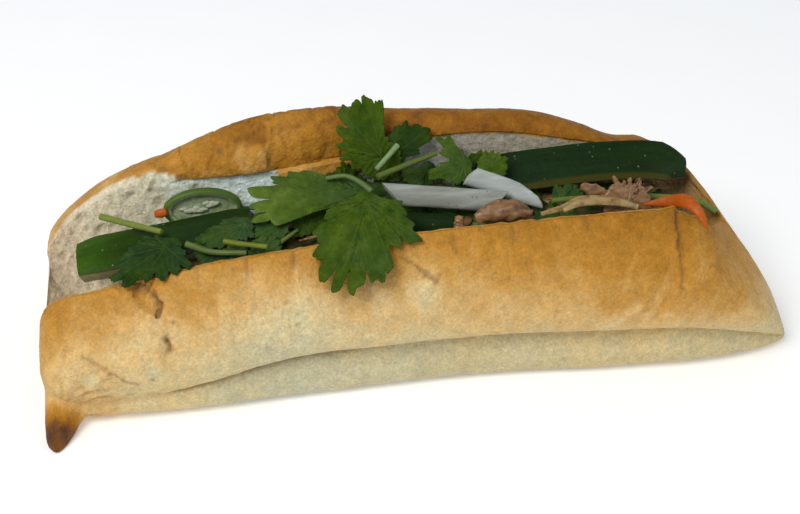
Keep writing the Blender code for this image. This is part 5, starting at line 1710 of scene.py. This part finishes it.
def chilli_finish():
    f = Finish("chilli", 0.36, 0.22, (0.08, 0.001))
    flesh = f.mix(f.span(f.noise(1.8, 3), 0.3, 0.7), (0.13, 0.18, 0.07), (0.30, 0.35, 0.21))
    flesh = f.mix(f.attribute("seed"), flesh, (0.38, 0.41, 0.28))
    skin = f.mix(f.noise(3.0, 3), (0.045, 0.095, 0.010), (0.085, 0.15, 0.022))
    f.color(f.mix(f.plus(f.attribute("skin"), 0.0, True), flesh, skin))
    f.bump(f.noise(1.0, 3), 0.06)
    return f.made


def meat_finish(name, low, high, dark):
    f = Finish(name, 0.4, 0.45, (0.1, 0.0015, (1.0, 0.45, 0.25)))
    color = f.mix(f.span(f.noise(1.6, 4, stretch=(0.3, 1, 1)), 0.3, 0.7), low, high)
    f.color(f.mix(f.span(f.noise(3.6, 3), 0.5, 0.66, 0, 0.8), color, dark))
    f.roughness(f.span(f.noise(2.0, 2), 0.3, 0.7, 0.2, 0.55))
    f.bump(f.noise(0.6, 3, stretch=(0.25, 1, 1)), 0.12)
    return f.made


def bed_finish():
    f = Finish("filling", 0.55, 0.18)
    f.color(f.ramp(f.noise(6.0, 4), (
        (0.35, (0.010, 0.022, 0.004)), (0.5, (0.032, 0.040, 0.008)), (0.62, (0.085, 0.05, 0.02)),
        (0.75, (0.15, 0.085, 0.035)),
    )))
    f.bump(f.noise(1.2, 3), 0.2)
    return f.made


# Building it.

points, faces, values = loaf()
bread = make_object("bread_look", points, faces, bread_finish(), values, sharp=60)
place(fix_normals(bread), "crust", "bread")
leaf_green, stalk_green = leaf_finish(), stalk_finish()
meat = meat_finish("chicken", (0.16, 0.062, 0.016), (0.33, 0.195, 0.085), (0.07, 0.026, 0.008))
pale_meat = meat_finish("shred", (0.26, 0.15, 0.035), (0.44, 0.31, 0.12), (0.15, 0.075, 0.02))
bed(bed_finish())
bits(leaf_green, stalk_green, meat, pale_meat)
cucumbers(cucumber_finish())
sticks(daikon_finish(), carrot_finish())
chicken(meat)
shreds(pale_meat)
chilli(chilli_finish())
stalks(stalk_green)
leaves(leaf_green, meat)
loose_herbs(leaf_green)

# The stage, the lights and the camera.

LENS = 62.91
TARGET = Vector((-0.0022, 0.0001, 0.0297))
AZIMUTH, ELEVATION, DISTANCE = math.radians(-8), math.radians(35), 0.48
# Half of the floor's width, and its height, just below the loaf.
FLOOR_HALF = 3
FLOOR_Z = -0.0004


def facing(azimuth, elevation):
    """The way from the loaf to this azimuth and elevation, with azimuth 0 at the front."""
    level = math.cos(elevation)
    return Vector((math.sin(azimuth) * level, -math.cos(azimuth) * level, math.sin(elevation)))


def area_light(name, azimuth, elevation, distance, size, power, color):
    """A round soft light that faces the loaf."""
    data = bpy.data.lights.new(name, "AREA")
    data.shape = "DISK"
    data.size = size
    data.energy = power
    data.color = color
    lamp = bpy.data.objects.new(name, data)
    way = facing(math.radians(azimuth), math.radians(elevation))
    lamp.location = TARGET + way * distance
    lamp.rotation_euler = way.to_track_quat("Z", "Y").to_euler()
    bpy.context.scene.collection.objects.link(lamp)


floor_mesh = bpy.data.meshes.new("floor")
corners = [(x * FLOOR_HALF, y * FLOOR_HALF, FLOOR_Z) for x, y in ((-1, -1), (1, -1), (1, 1), (-1, 1))]
floor_mesh.from_pydata(corners, [], [(0, 1, 2, 3)])
floor = bpy.data.objects.new("floor", floor_mesh)
floor_finish = Finish("floor", 0.8)
floor_finish.color(floor_finish.mix(floor_finish.noise(30, 3), (0.93, 0.93, 0.92), (0.96, 0.96, 0.95)))
floor_finish.shader.inputs["Emission Color"].default_value = (1, 1, 1, 1)
floor_finish.shader.inputs["Emission Strength"].default_value = 0.2
floor_mesh.materials.append(floor_finish.made)
bpy.context.scene.collection.objects.link(floor)

world = bpy.data.worlds.new("studio")
world.use_nodes = True
background = world.node_tree.nodes["Background"]
background.inputs["Color"].default_value = (0.86, 0.93, 1.0, 1)
background.inputs["Strength"].default_value = 0.42
bpy.context.scene.world = world
area_light("key", -50, 52, 1.3, 0.7, 11, (1.0, 0.98, 0.95))
area_light("fill", 60, 35, 1.6, 1.0, 3, (0.95, 0.97, 1.0))
bpy.context.scene.view_settings.view_transform = "Standard"

camera_data = bpy.data.cameras.new("camera")
camera_data.lens = LENS
camera_data.sensor_width = 36
camera = bpy.data.objects.new("camera", camera_data)
way = facing(AZIMUTH, ELEVATION)
camera.location = TARGET + way * DISTANCE
camera.rotation_mode = "QUATERNION"
camera.rotation_quaternion = way.to_track_quat("Z", "Y")
bpy.context.scene.collection.objects.link(camera)
bpy.context.scene.camera = camera
